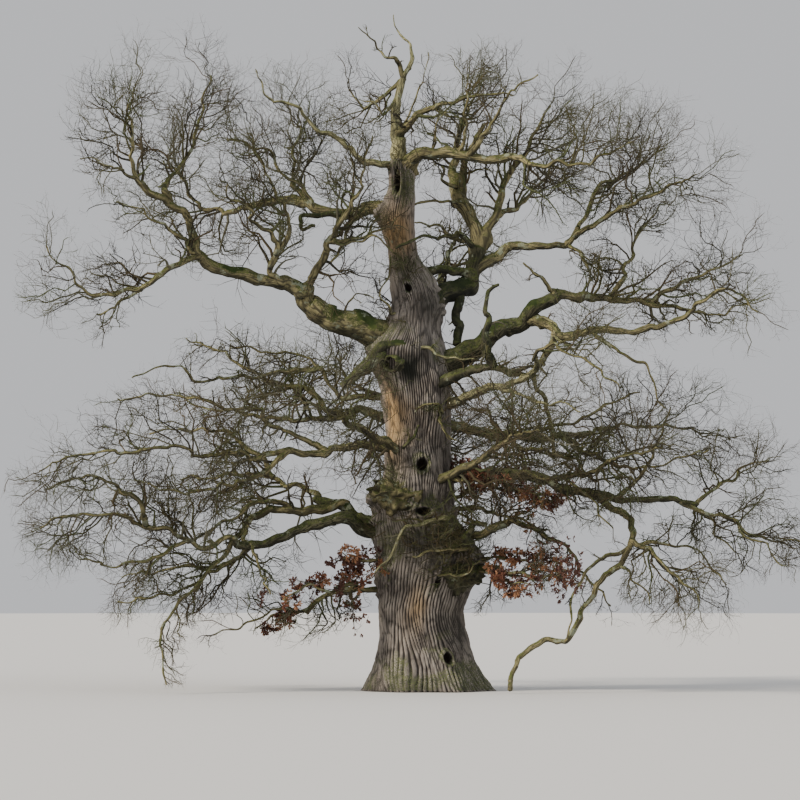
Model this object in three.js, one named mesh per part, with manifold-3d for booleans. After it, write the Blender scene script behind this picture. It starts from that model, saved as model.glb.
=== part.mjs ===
// A very old bare oak: a stout leaning trunk with a root flare, burrs and hollows, twisting boughs,
// and crowns of twigs, some of which keep their brown leaves low down near the trunk.
// +Z is up. X runs to the right and Y away from someone who faces the tree. The origin is the middle
// of the trunk's flat foot at ground level. Sizes in the tables are metres, and the solids are millimetres.
import * as THREE from "three";
import { mergeVertices } from "three/addons/utils/BufferGeometryUtils.js";
import Module from "manifold-3d";

const wasm = await Module();
wasm.setup();

const MM = 1000;
const GAP = 0.0003; // clearance between two solids that meet
const SLIVER = 8; // detail smaller than this, in mm, is smoothed away where twigs fuse
const NEAR = 1e-6; // the corners of a new shape that lie nearer than this are one
const MERGE = 0.001; // and after a cut, those nearer than this, in mm
const UP = new THREE.Vector3(0, 0, 1);
const STEEP = 0.95; // a direction that rises more than this share of its length is taken as upright

// How the trunk stands: height, radius, and how far its middle has moved in x and in y.
const TRUNK_RINGS = [
  [0.0, 1.5, 0.0, 0.0],
  [0.3, 1.44, -0.03, 0.0],
  [0.7, 1.32, -0.07, 0.0],
  [1.2, 1.22, -0.14, 0.0],
  [1.7, 1.16, -0.18, 0.02],
  [2.2, 1.14, -0.2, 0.03],
  [2.7, 1.2, -0.14, 0.04],
  [3.2, 1.3, -0.06, 0.05],
  [3.7, 1.3, -0.02, 0.05],
  [4.2, 1.2, -0.12, 0.05],
  [4.7, 1.06, -0.28, 0.05],
  [5.3, 0.97, -0.32, 0.05],
  [6.0, 0.9, -0.3, 0.05],
  [6.8, 0.89, -0.27, 0.06],
  [7.6, 0.89, -0.3, 0.08],
  [8.3, 0.85, -0.36, 0.1],
  [8.9, 0.8, -0.44, 0.1],
  [9.5, 0.7, -0.44, 0.1],
  [10.1, 0.56, -0.38, 0.1],
  [10.8, 0.5, -0.38, 0.1],
  [11.4, 0.45, -0.52, 0.1],
  [12.0, 0.41, -0.7, 0.1],
  [12.6, 0.42, -0.79, 0.08],
  [13.1, 0.45, -0.81, 0.05],
  [13.6, 0.36, -0.73, 0.02],
  [14.2, 0.28, -0.74, 0.0],
  [14.75, 0.24, -0.75, 0.0],
];
const TRUNK_SIDES = 24;
const FLUTES = { count: 5, depth: 0.025, twist: 0.8 }; // shallow folds that wind up the trunk

// Roots that buttress the foot: which way they run (degrees, 0 is +X), reach beyond the trunk, half width.
const ROOTS = [
  [-8, 0.42, 24],
  [48, 0.26, 20],
  [100, 0.34, 26],
  [158, 0.3, 22],
  [196, 0.36, 24],
  [242, 0.22, 18],
  [296, 0.26, 22],
];
const ROOT_RISE = 0.62; // height at which a root has sunk into the trunk to a third

// Burrs: which way they face, height, swell, half width and half height.
const BURRS = [
  [-14, 3.45, 0.26, 30, 0.55],
  [-75, 3.75, 0.12, 26, 0.5],
  [190, 3.1, 0.08, 30, 0.6],
  [198, 5.35, 0.42, 22, 0.3],
  [20, 5.0, 0.1, 26, 0.5],
  [70, 6.6, 0.14, 30, 0.6],
  [185, 9.4, 0.2, 40, 0.5],
  [-10, 10.75, 0.14, 36, 0.45],
  [176, 13.3, 0.12, 40, 0.3],
];

// Hollows: which way they face, height, half width, half height and depth.
const HOLLOWS = [
  [-82, 6.25, 0.15, 0.17, 0.3],
  [-80, 4.95, 0.2, 0.1, 0.22],
  [-100, 11.15, 0.08, 0.12, 0.16],
  [-110, 14.15, 0.09, 0.36, 0.2],
  [-62, 0.92, 0.12, 0.15, 0.22],
];

// Limbs. Each has a name, the limb it leaves and where (a height on the trunk, or the share of the
// limb's length), the radius at its root and at its tip, how far back its tip lies (y), and its
// route across the picture as x and z. A crown also has the reach of its twigs round its stem, how
// strongly they lift or weep, and whether they keep leaves.
const BOUGHS = [
  [
    "left_great_bough", "trunk", 9.5, [0.42, 0.24], -0.9,
    [[-1.6, 9.9], [-2.45, 10.2], [-3.1, 10.55], [-3.35, 11.2]],
  ],
  [
    "left_great_arm", "left_great_bough", 1, [0.21, 0.14], -1.5,
    [[-4.1, 11.25], [-4.8, 11.4], [-5.85, 11.65], [-6.3, 12.0]],
  ],
  [
    "left_outer_riser", "left_great_arm", 1, [0.135, 0.095], -1.9,
    [[-6.4, 12.55], [-6.6, 12.95], [-6.95, 13.35], [-7.2, 13.8]],
  ],
  [
    "left_high_limb", "trunk", 13.4, [0.21, 0.09], 2.0,
    [[-1.4, 13.45], [-2.35, 13.35], [-3.75, 13.7], [-5.15, 13.55]],
  ],
  [
    "dead_left_limb", "trunk", 14.55, [0.095, 0.016], -0.9,
    [[-1.7, 14.8], [-2.8, 15.35], [-3.9, 16.25], [-4.55, 16.5], [-4.8, 17.15]],
  ],
  [
    "top_stem", "trunk", 14.5, [0.2, 0.015], 0.5,
    [[-0.85, 15.4], [-0.7, 16.9], [-0.4, 17.6], [-0.5, 18.0], [-0.85, 18.4], [-0.95, 18.85]],
  ],
  [
    "right_high_limb", "trunk", 14.4, [0.2, 0.1], -1.4,
    [[-0.35, 14.85], [0.2, 14.9], [1.35, 14.7], [2.3, 14.7]],
  ],
  [
    "right_fork_bough", "trunk", 10.7, [0.3, 0.22], 0.6,
    [[0.35, 11.0], [0.9, 11.3], [1.3, 11.65], [1.4, 12.35]],
  ],
  [
    "right_fork_stem", "right_fork_bough", 1, [0.23, 0.165], 1.5,
    [[1.3, 12.9], [1.05, 13.45], [0.85, 13.95], [0.75, 14.5]],
  ],
  [
    "right_long_arm", "right_fork_bough", 0.8, [0.14, 0.08], 0.7,
    [[2.2, 12.3], [2.65, 12.45], [3.55, 12.3], [4.2, 12.9]],
  ],
  [
    "right_great_bough", "trunk", 8.7, [0.33, 0.16], -0.6,
    [[0.75, 9.2], [2.1, 10.1], [2.7, 10.35], [3.65, 10.95]],
  ],
  [
    "right_lower_arm", "right_great_bough", 0.72, [0.14, 0.06], -2.5,
    [[3.25, 10.05], [3.75, 9.8], [4.9, 9.95], [6.2, 10.0], [7.3, 10.45]],
  ],
  [
    "right_pale_limb", "trunk", 7.6, [0.14, 0.06], -2.8,
    [[0.9, 8.1], [1.5, 8.35], [2.5, 8.45], [2.85, 8.8], [2.9, 9.15]],
  ],
  [
    "right_low_bough", "trunk", 7.2, [0.15, 0.07], 2.4,
    [[1.15, 7.3], [2.85, 7.05], [4.5, 7.2]],
  ],
  [
    "right_sweeping_bough", "trunk", 5.6, [0.19, 0.07], -0.9,
    [[1.0, 6.0], [2.85, 5.9], [3.8, 5.5], [5.6, 5.35], [7.4, 5.15]],
  ],
  [
    "ground_limb", "right_sweeping_bough", 0.6, [0.09, 0.08], -1.9,
    [[5.2, 5.0], [5.5, 4.6], [5.5, 4.0]],
  ],
  [
    "ground_foot", "ground_limb", 1, [0.078, 0.07], -2.6,
    [[5.05, 3.3], [4.2, 2.3], [3.85, 1.5], [3.2, 1.4], [2.6, 1.05], [2.3, 0.55], [2.2, 0.1]],
  ],
  [
    "left_low_bough", "trunk", 4.2, [0.25, 0.12], 0.4,
    [[-1.65, 4.65], [-2.1, 4.95], [-3.2, 5.3]],
  ],
  [
    "left_sweeping_bough", "trunk", 4.1, [0.19, 0.1], -1.4,
    [[-1.6, 4.5], [-2.4, 4.75], [-3.55, 4.45], [-4.9, 4.0], [-5.3, 4.2]],
  ],
  [
    "left_middle_bough", "trunk", 6.7, [0.14, 0.07], -2.3,
    [[-1.45, 6.8], [-3.0, 6.6], [-4.8, 6.5]],
  ],
  [
    "left_stub_limb", "trunk", 9.0, [0.24, 0.1], -1.7,
    [[-0.9, 9.3], [-1.35, 9.25], [-1.8, 8.9], [-2.35, 8.4]],
  ],
];

const CROWNS = [
  [
    "left_outer_crown", "left_outer_riser", 1, [0.09, 0.02], -0.2,
    [[-6.9, 14.35], [-6.35, 15.6], [-6.1, 17.1]],
    1.9, 0.2,
  ],
  [
    "left_outer_side", "left_outer_riser", 0.72, [0.08, 0.02], -3.4,
    [[-8.05, 14.15], [-8.0, 14.85], [-8.2, 15.6], [-8.05, 16.4]],
    1.9, 0.2,
  ],
  [
    "left_drooping_crown", "left_great_arm", 0.9, [0.1, 0.02], -3.2,
    [[-6.9, 11.75], [-7.95, 11.0], [-9.45, 11.05], [-10.35, 12.2]],
    1.7, 0.2,
  ],
  [
    "left_inner_crown", "left_great_bough", 1, [0.13, 0.02], -3.0,
    [[-2.8, 12.15], [-2.3, 12.9], [-1.9, 13.85], [-1.5, 15.2]],
    1.7, 0.15,
  ],
  [
    "left_arch_crown", "left_great_arm", 0.2, [0.1, 0.02], -2.9,
    [[-4.35, 11.8], [-3.85, 12.7], [-4.35, 13.9], [-4.95, 15.2]],
    1.9, 0.15,
  ],
  [
    "left_high_crown", "left_high_limb", 1, [0.085, 0.02], 3.9,
    [[-6.2, 13.45], [-6.9, 14.4], [-7.45, 15.2]],
    2.0, 0.2,
  ],
  [
    "left_upright_crown", "left_high_limb", 0.7, [0.07, 0.02], 2.8,
    [[-3.9, 14.5], [-3.7, 15.6], [-3.6, 16.4]],
    1.9, 0.25,
  ],
  [
    "top_fork", "top_stem", 0.37, [0.06, 0.012], -0.4,
    [[-0.83, 17.44], [-1.0, 17.69], [-1.3, 17.8], [-1.65, 18.25], [-1.95, 18.4]],
    0.5, 0.3,
  ],
  [
    "top_broom", "top_stem", 0.36, [0.06, 0.02], 0.9,
    [[-1.65, 16.15], [-2.15, 16.85]],
    1.3, 0.2,
  ],
  [
    "right_high_crown", "right_high_limb", 1, [0.09, 0.02], -3.2,
    [[3.05, 14.5], [4.2, 14.4], [5.6, 15.0]],
    1.9, 0.2,
  ],
  [
    "right_top_crown", "top_stem", 0.16, [0.11, 0.02], -1.0,
    [[-0.3, 15.95], [0.75, 16.35], [2.4, 16.5]],
    1.6, 0.3,
  ],
  [
    "right_fork_crown", "right_fork_stem", 1, [0.14, 0.02], 3.0,
    [[0.8, 15.15], [0.95, 15.95], [1.45, 17.2]],
    1.8, 0.25,
  ],
  [
    "right_fork_outer", "right_fork_bough", 0.93, [0.14, 0.02], 1.6,
    [[2.05, 13.55], [2.35, 14.55], [3.05, 15.6], [3.5, 16.4]],
    1.9, 0.2,
  ],
  [
    "right_long_crown", "right_long_arm", 1, [0.075, 0.02], 3.0,
    [[4.9, 14.1], [5.45, 14.5], [6.7, 15.3]],
    2.0, 0.2,
  ],
  [
    "right_outer_crown", "right_long_arm", 0.9, [0.075, 0.02], -1.2,
    [[5.4, 13.4], [6.8, 14.0], [7.4, 14.3]],
    1.8, 0.15,
  ],
  [
    "right_mid_crown", "right_great_bough", 1, [0.15, 0.02], 1.1,
    [[4.85, 10.9], [5.9, 10.85], [7.3, 11.4], [8.8, 12.1]],
    1.8, 0.15,
  ],
  [
    "right_lower_crown", "right_lower_arm", 1, [0.058, 0.02], -3.8,
    [[7.75, 10.9], [8.3, 10.9], [8.9, 10.4]],
    1.6, 0.05,
  ],
  [
    "right_front_crown", "right_pale_limb", 1, [0.058, 0.02], -5.0,
    [[3.3, 9.4], [4.2, 9.0], [5.0, 8.3]],
    2.0, 0.0,
  ],
  [
    "right_low_crown", "right_low_bough", 1, [0.065, 0.02], 4.0,
    [[5.35, 7.35], [6.8, 7.4], [8.2, 7.2]],
    2.1, 0.05,
  ],
  [
    "right_tip_crown", "right_sweeping_bough", 1, [0.065, 0.02], 0.6,
    [[8.0, 5.6], [8.7, 6.1], [9.5, 6.4]],
    1.6, 0.05,
  ],
  [
    "right_tip_weeping", "right_sweeping_bough", 0.93, [0.06, 0.018], -2.0,
    [[8.1, 4.75], [9.2, 4.3], [10.2, 4.15]],
    1.6, -0.2,
  ],
  [
    "right_hanging_crown", "ground_limb", 0.9, [0.07, 0.02], -3.4,
    [[6.1, 3.9], [6.7, 3.3], [7.2, 2.5]],
    1.6, -0.3,
  ],
  [
    "right_dense_crown", "right_sweeping_bough", 0.5, [0.08, 0.02], -4.2,
    [[4.6, 6.1], [5.4, 6.5], [6.3, 6.6]],
    1.9, -0.05,
  ],
  [
    "right_arching_limb", "trunk", 3.9, [0.13, 0.02], -1.3,
    [[1.85, 4.55], [2.6, 4.7], [3.85, 3.8], [5.0, 2.35]],
    0.9, -0.1,
  ],
  [
    "right_leafy_crown", "trunk", 3.2, [0.08, 0.016], -2.6,
    [[1.7, 3.3], [2.7, 3.2], [3.7, 3.1]],
    1.2, 0.0, 12,
  ],
  [
    "right_leafy_back", "trunk", 5.1, [0.08, 0.016], 2.4,
    [[1.4, 5.0], [2.4, 4.8], [3.4, 4.5]],
    1.4, 0.0, 11,
  ],
  [
    "left_low_crown", "left_low_bough", 1, [0.09, 0.02], 3.4,
    [[-4.4, 6.0], [-5.6, 6.1], [-7.0, 5.9]],
    2.0, 0.0,
  ],
  [
    "left_hanging_limb", "left_low_bough", 0.72, [0.1, 0.02], -2.8,
    [[-4.55, 4.95], [-5.5, 3.95], [-6.4, 2.9], [-7.3, 1.7], [-7.1, 0.25]],
    1.0, -0.2,
  ],
  [
    "left_sweeping_crown", "left_sweeping_bough", 1, [0.09, 0.02], -2.6,
    [[-6.5, 4.15], [-8.4, 4.75], [-9.6, 4.9], [-10.6, 4.5]],
    1.8, -0.1,
  ],
  [
    "left_weeping_crown", "left_sweeping_bough", 0.8, [0.07, 0.02], 1.3,
    [[-5.6, 3.6], [-7.0, 3.4], [-8.6, 3.1]],
    1.8, -0.15,
  ],
  [
    "left_middle_crown", "left_middle_bough", 1, [0.065, 0.02], -4.4,
    [[-5.8, 6.5], [-7.4, 6.6], [-9.2, 6.5], [-10.4, 6.1]],
    2.0, -0.05,
  ],
  [
    "left_back_crown", "trunk", 7.4, [0.14, 0.02], 4.4,
    [[-1.75, 7.8], [-3.2, 7.6], [-5.0, 7.8], [-7.0, 8.1]],
    2.1, 0.05,
  ],
  [
    "left_thin_crown", "trunk", 8.2, [0.1, 0.02], 0.6,
    [[-1.6, 8.1], [-2.7, 8.5], [-3.55, 9.3], [-5.6, 9.5]],
    1.8, 0.0,
  ],
  [
    "left_leafy_crown", "trunk", 2.7, [0.09, 0.015], -1.8,
    [[-2.05, 2.85], [-3.1, 2.5], [-4.45, 2.1], [-5.9, 1.55]],
    1.2, 0.1, 16,
  ],
  [
    "front_left_crown", "trunk", 6.3, [0.13, 0.02], -6.2,
    [[-1.7, 7.1], [-2.8, 7.7], [-3.6, 7.9]],
    2.2, 0.05,
  ],
  [
    "front_right_crown", "trunk", 5.6, [0.13, 0.02], -6.0,
    [[1.3, 6.3], [2.2, 6.9], [3.0, 7.1]],
    2.2, 0.05,
  ],
  [
    "back_crown", "trunk", 5.5, [0.19, 0.02], 6.6,
    [[0.0, 6.2], [-0.1, 6.9], [-0.2, 7.0]],
    2.2, 0.05,
  ],
  [
    "back_high_crown", "trunk", 9.2, [0.2, 0.02], 5.4,
    [[0.3, 10.8], [0.6, 12.2], [1.0, 13.2]],
    2.2, 0.2,
  ],
];

// The twigs of a crown, by rank: the first grow from the stem and the second from the first.
const TWIG_RANKS = {
  1: { steps: 2, wander: 0.32, angle: 58, root: 0.034 },
  2: { steps: 1, wander: 0.2, angle: 52, root: 0.02 },
};
const FIRST_TWIGS_PER_METRE = 1.15;
const FIRST_SHARES = [1.15, 0.7]; // length of a first twig against the reach, at the stem's root and tip
const SECOND_TWIGS = 2;
const SECOND_SHARE = 0.62; // length of a second twig against the first it grows from
const LENGTH_SCATTER = [0.8, 1.15];
const ANGLE_SHARES = [1.15, 0.6]; // of a twig's angle, at its parent's root and tip
const ANGLE_SCATTER = 20; // degrees
const TURN_SCATTER = 0.9; // radians
const ROOT_SHARE = 0.6; // of its parent's radius, the most that a twig's root may have
const BARE_SHARES = { stem: 0.12, twig: 0.3 }; // of a stem or twig, before its first twig
const SPACE_MARGIN = 0.05; // share of the reach that keeps two crowns apart
const LIMB_CLEARANCE = 0.09;
const GROUND_CLEARANCE = 0.16;
const TRUNK_CLEARANCE = 1.25; // in trunk radii
const GOLDEN_SHARE = (Math.sqrt(5) - 1) / 2;
const GOLDEN_TURN = Math.PI * (3 - Math.sqrt(5));
const LEAF = { length: 0.24, width: 0.15, thickness: 0.02 };
const LEAF_SCATTER = [0.75, 1.2];
const LEAF_SEAT = 0.42; // of its length, from the twig to its middle
const LEAF_BACK = 0.25; // of a twig's last step, from its tip to where a leaf sits
const LEAF_DROOP = 0.4;

// Sides of a limb, a crown's stem and a twig. Thick ones have more, from the radius given.
const BOUGH_SIDES = { thick: 9, thin: 7, from: 0.3 };
const STEM_SIDES = { thick: 5, thin: 4, from: 0.15 };
const TWIG_SIDES = 3;

const KNOT_STEP = 0.75; // distance between the small kinks of a limb
const KNOT_SHARE = 0.32; // size of a kink against the limb's radius
const LEAST_KINK = 0.04; // and what even a thin limb gets on top of that
const COLLAR_SWELL = 0.35; // how much wider a limb is where it leaves its parent
const COLLAR_FALL = 4; // how fast that swell ends along the limb
const TAPER_POWER = 0.85; // below 1, a limb thins faster near its root

const degrees = (angle) => (angle * Math.PI) / 180;
const mix = (a, b, share) => a + (b - a) * share;
const point = (x, y, z) => new THREE.Vector3(x, y, z);

// A small random number generator, the same for the same seed.
function randomFrom(seed) {
  let state = (seed % 2147483646) + 1;
  const draw = () => {
    state = (state * 48271) % 2147483647;
    return state / 2147483647;
  };
  draw();
  draw();
  return draw;
}

function seedOf(name) {
  return [...name].reduce((seed, letter) => (seed * 131 + letter.charCodeAt(0)) % 1000003, 7);
}

const childSeed = (seed, k) => (seed * 613 + k * 7919 + 101) % 1000003;

// A point on the smooth curve through the given points, t from 0 to their number less one.
function onCurve(points, t) {
  const i = Math.min(Math.floor(t), points.length - 2);
  const s = t - i;
  const [a, b, c, d] = [i - 1, i, i + 1, i + 2].map(
    (k) => points[Math.max(0, Math.min(points.length - 1, k))],
  );
  const weights = [
    -0.5 * s + s * s - 0.5 * s ** 3,
    1 - 2.5 * s * s + 1.5 * s ** 3,
    0.5 * s + 2 * s * s - 1.5 * s ** 3,
    -0.5 * s * s + 0.5 * s ** 3,
  ];
  return [a, b, c, d].reduce((sum, p, k) => sum.addScaledVector(p, weights[k]), point(0, 0, 0));
}

// The trunk's radius and middle at a height.
function trunkAt(z) {
  const last = TRUNK_RINGS.length - 1;
  let i = TRUNK_RINGS.findIndex((ring) => ring[0] > z) - 1;
  if (i < 0) i = z <= 0 ? 0 : last - 1;
  const [low, high] = [TRUNK_RINGS[i], TRUNK_RINGS[i + 1]];
  const share = Math.min(1, (z - low[0]) / (high[0] - low[0]));
  const [, radius, x, y] = low.map((value, k) => mix(value, high[k], share));
  return { radius, middle: point(x, y, z) };
}

const turnBetween = (a, b) => Math.abs(((((a - b) % 360) + 540) % 360) - 180);

// The trunk's surface: its radius with roots, burrs and shallow flutes, in a direction at a height.
function trunkRadius(angle, z) {
  let radius = trunkAt(z).radius;
  for (const [facing, reach, width] of ROOTS) {
    const off = turnBetween(angle, facing) / width;
    radius += reach * Math.exp(-off * off - z / ROOT_RISE);
  }
  for (const [facing, height, swell, width, tall] of BURRS) {
    const off = turnBetween(angle, facing) / width;
    const rise = (z - height) / tall;
    radius += swell * Math.exp(-off * off - rise * rise);
  }
  return radius * (1 + FLUTES.depth * Math.sin(degrees(angle) * FLUTES.count + z * FLUTES.twist));
}

// Sections along a limb: middles with radii, from its root inside its parent to its tip.
function limbPath(name, parent, at, radii, depth, route) {
  const start = parent ? parent.place(at) : trunkAt(at).middle;
  const guide = [start];
  route.forEach(([x, z], i) => guide.push(point(x, mix(start.y, depth, (i + 1) / route.length), z)));
  const random = randomFrom(seedOf(name));
  const length = guide.slice(1).reduce((sum, p, i) => sum + p.distanceTo(guide[i]), 0);
  const count = Math.max(4, Math.round(length / KNOT_STEP));
  const middles = [];
  const widths = [];
  for (let i = 0; i <= count; i++) {
    const share = i / count;
    const radius = mix(radii[0], radii[1], share ** TAPER_POWER);
    const collar = parent && at === 1 ? 0 : COLLAR_SWELL * Math.exp(-COLLAR_FALL * share);
    const kink = point(random() - 0.5, random() - 0.5, random() - 0.5);
    const middle = onCurve(guide, share * (guide.length - 1));
    if (i > 1 && i < count) middle.addScaledVector(kink, 2 * KNOT_SHARE * radius + LEAST_KINK);
    middles.push(middle);
    widths.push(radius * (1 + collar));
  }
  return {
    name,
    middles,
    widths,
    length,
    place: (share) => {
      const back = share === 1 ? 1 - widths[count] / length : share;
      return onCurve(middles, back * count);
    },
  };
}

// How far a point lies from a limb's middle line, and the limb's radius there.
function nearestOn(limb, p) {
  let best = { distance: Infinity, radius: 0 };
  for (let i = 0; i + 1 < limb.middles.length; i++) {
    const segment = new THREE.Line3(limb.middles[i], limb.middles[i + 1]);
    const share = segment.closestPointToPointParameter(p, true);
    const distance = segment.at(share, point(0, 0, 0)).distanceTo(p);
    if (distance < best.distance)
      best = { distance, radius: mix(limb.widths[i], limb.widths[i + 1], share) };
  }
  return best;
}

// The direction that stands off a limb's own at an angle, turned round it.
function sideways(way, turn, angle) {
  const steep = Math.abs(way.z) > STEEP;
  const side = point(0, 0, 0).crossVectors(way, steep ? point(1, 0, 0) : UP).normalize();
  const over = point(0, 0, 0).crossVectors(side, way);
  const out = side.multiplyScalar(Math.cos(turn)).addScaledVector(over, Math.sin(turn));
  return way.clone().multiplyScalar(Math.cos(angle)).addScaledVector(out, Math.sin(angle));
}

// One twig: it wanders from its root, lifts or weeps, and stops where its crown's space ends.
function growTwig(crown, rank, root, heading, length, thickness, seed) {
  const rule = TWIG_RANKS[rank];
  const random = randomFrom(seed);
  const middles = [root];
  let way = heading;
  for (let i = 0; i < rule.steps; i++) {
    const drift = point(random() - 0.5, random() - 0.5, random() - 0.5);
    way = way.clone().addScaledVector(drift, 2 * rule.wander).addScaledVector(UP, crown.lift).normalize();
    const next = middles[i].clone().addScaledVector(way, length / rule.steps);
    if (!crown.holds(next, thickness)) break;
    middles.push(next);
  }
  const made = middles.length - 1;
  const widths = middles.map((_, i) => (made ? thickness * (1 - i / made) : 0));
  return made ? { middles, widths, seed, length: (length * made) / rule.steps } : null;
}

// The twigs along a limb or twig, dealt out evenly however many there are.
function twigsAlong(crown, parent, rank, count, bare, lengthAt) {
  const twigs = [];
  const last = parent.middles.length - 1;
  for (let k = 0; k < count; k++) {
    const seed = childSeed(parent.seed, k);
    const random = randomFrom(seed + 5);
    const share = bare + (1 - bare) * ((0.5 + k * GOLDEN_SHARE) % 1);
    const turn = k * GOLDEN_TURN + random() * TURN_SCATTER + parent.seed;
    const i = Math.min(last - 1, Math.floor(share * last));
    const way = parent.middles[i + 1].clone().sub(parent.middles[i]).normalize();
    const root = parent.middles[i].clone().lerp(parent.middles[i + 1], share * last - i);
    const tilt = TWIG_RANKS[rank].angle * mix(...ANGLE_SHARES, share) + (random() - 0.5) * ANGLE_SCATTER;
    const length = lengthAt(share) * mix(...LENGTH_SCATTER, random());
    const width = mix(parent.widths[i], parent.widths[i + 1], share * last - i);
    const thickness = Math.min(TWIG_RANKS[rank].root, width * ROOT_SHARE);
    const heading = sideways(way, turn, degrees(tilt));
    const twig = growTwig(crown, rank, root, heading, length, thickness, seed);
    if (twig) twigs.push(twig);
  }
  return twigs;
}

const limbs = {};
for (const [name, parent, at, radii, depth, route] of BOUGHS)
  limbs[name] = limbPath(name, limbs[parent], at, radii, depth, route);

const crowns = CROWNS.map(([name, parent, at, radii, depth, route, reach, lift, leaves = 0]) => ({
  ...limbPath(name, limbs[parent], at, radii, depth, route),
  seed: seedOf(name),
  reach,
  lift,
  leaves,
}));

// A crown holds a point that is within its reach, nearer to it than to any other, and clear of all limbs.
for (const crown of crowns)
  crown.holds = (p, thickness) => {
    if (p.z < GROUND_CLEARANCE) return false;
    const own = nearestOn(crown, p).distance / crown.reach;
    if (own > 1) return false;
    const { radius, middle } = trunkAt(Math.min(p.z, TRUNK_RINGS.at(-1)[0]));
    if (p.distanceTo(middle) < radius * TRUNK_CLEARANCE + LIMB_CLEARANCE) return false;
    const clear = (limb) => {
      const { distance, radius: thick } = nearestOn(limb, p);
      return distance > thick + thickness + LIMB_CLEARANCE;
    };
    return (
      Object.values(limbs).every(clear) &&
      crowns.every(
        (other) =>
          other === crown ||
          (clear(other) && nearestOn(other, p).distance / other.reach > own + SPACE_MARGIN),
      )
    );
  };

const sidesOf = (limb, { thick, thin, from }) => (limb.widths[0] > from ? thick : thin);

function solidOf(geometry, near = NEAR) {
  geometry.deleteAttribute("normal");
  geometry.deleteAttribute("uv");
  const merged = mergeVertices(geometry, near);
  return new wasm.Manifold(
    new wasm.Mesh({
      numProp: 3,
      vertProperties: new Float32Array(merged.attributes.position.array),
      triVerts: new Uint32Array(merged.index.array),
    }),
  );
}

// A cylinder bent along a limb's sections. A tip of no width makes it a cone, and grow widens it all over.
function tube({ middles, widths }, sides, grow = 0) {
  const count = middles.length - 1;
  const geometry = new THREE.CylinderGeometry(widths[count] > 0 ? 1 : 0, 1, 1, sides, count);
  const frames = [];
  let side = null;
  middles.forEach((middle, i) => {
    const ahead = middles[Math.min(count, i + 1)];
    const way = ahead.clone().sub(middles[Math.max(0, i - 1)]).normalize();
    if (!side) side = sideways(way, 0, Math.PI / 2);
    side = side.addScaledVector(way, -side.dot(way)).normalize().clone();
    const end = i === 0 ? -grow : i === count ? grow : 0;
    const across = point(0, 0, 0).crossVectors(side, way);
    frames.push({ middle: middle.clone().addScaledVector(way, end), side, across });
  });
  const positions = geometry.attributes.position;
  for (let v = 0; v < positions.count; v++) {
    const row = Math.round((positions.getY(v) + 0.5) * count);
    const { middle, side: out, across } = frames[row];
    const width = widths[row] + grow;
    const place = middle.clone().addScaledVector(out, positions.getX(v) * width);
    place.addScaledVector(across, positions.getZ(v) * width).multiplyScalar(MM);
    positions.setXYZ(v, place.x, place.y, place.z);
  }
  return solidOf(geometry);
}

function trunkSolid(grow = 0) {
  const rows = TRUNK_RINGS.length - 1;
  const geometry = new THREE.CylinderGeometry(1, 1, 1, TRUNK_SIDES, rows);
  const positions = geometry.attributes.position;
  for (let v = 0; v < positions.count; v++) {
    const row = Math.round((positions.getY(v) + 0.5) * rows);
    const [z, , x, y] = TRUNK_RINGS[row];
    const [across, away] = [positions.getX(v), -positions.getZ(v)];
    const share = Math.hypot(across, away);
    const angle = (Math.atan2(away, across) * 180) / Math.PI;
    const radius = share * (trunkRadius(angle, z) + grow);
    const end = row === rows ? grow : 0;
    const turn = degrees(angle);
    const place = point(x + radius * Math.cos(turn), y + radius * Math.sin(turn), z + end);
    place.multiplyScalar(MM);
    positions.setXYZ(v, place.x, place.y, place.z);
  }
  return solidOf(geometry);
}

// A hollow is a stretched ball that is cut from the trunk's face.
function hollowSolid([facing, height, wide, tall, deep]) {
  const turn = degrees(facing);
  const { middle } = trunkAt(height);
  const face = trunkRadius(facing, height);
  const geometry = new THREE.IcosahedronGeometry(1, 1);
  geometry.applyMatrix4(
    new THREE.Matrix4()
      .makeRotationZ(turn)
      .multiply(new THREE.Matrix4().makeScale(deep * MM, wide * MM, tall * MM)),
  );
  geometry.translate(
    (middle.x + face * Math.cos(turn)) * MM,
    (middle.y + face * Math.sin(turn)) * MM,
    height * MM,
  );
  return solidOf(geometry);
}

// A withered leaf: a thin eight-sided lens whose stalk end lies in its twig.
function leafSolid(root, heading, seed) {
  const random = randomFrom(seed);
  const geometry = new THREE.OctahedronGeometry(1, 0);
  const size = mix(...LEAF_SCATTER, random());
  const stray = point(random() - 0.5, random() - 0.5, random() - 0.5 - LEAF_DROOP);
  const way = heading.clone().add(stray).normalize();
  const turn = new THREE.Quaternion().setFromUnitVectors(point(1, 0, 0), way);
  geometry.scale(LEAF.length / 2, LEAF.width / 2, LEAF.thickness / 2);
  geometry.translate(LEAF.length * LEAF_SEAT, 0, 0);
  geometry.scale(size * MM, size * MM, size * MM);
  geometry.rotateX(random() * Math.PI);
  geometry.applyQuaternion(turn);
  geometry.translate(root.x * MM, root.y * MM, root.z * MM);
  return solidOf(geometry);
}

function touches(a, b) {
  const [one, two] = [a.boundingBox(), b.boundingBox()];
  return [0, 1, 2].every((k) => one.min[k] < two.max[k] && two.min[k] < one.max[k]);
}

function geometryOf(solid) {
  const { vertProperties, triVerts, numProp } = solid.getMesh();
  const count = vertProperties.length / numProp;
  const places = new Float32Array(count * 3);
  for (let v = 0; v < count; v++)
    for (let k = 0; k < 3; k++) places[v * 3 + k] = vertProperties[v * numProp + k];
  const geometry = new THREE.BufferGeometry();
  geometry.setAttribute("position", new THREE.BufferAttribute(places, 3));
  geometry.setIndex(new THREE.BufferAttribute(triVerts, 1));
  return geometry;
}

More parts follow.
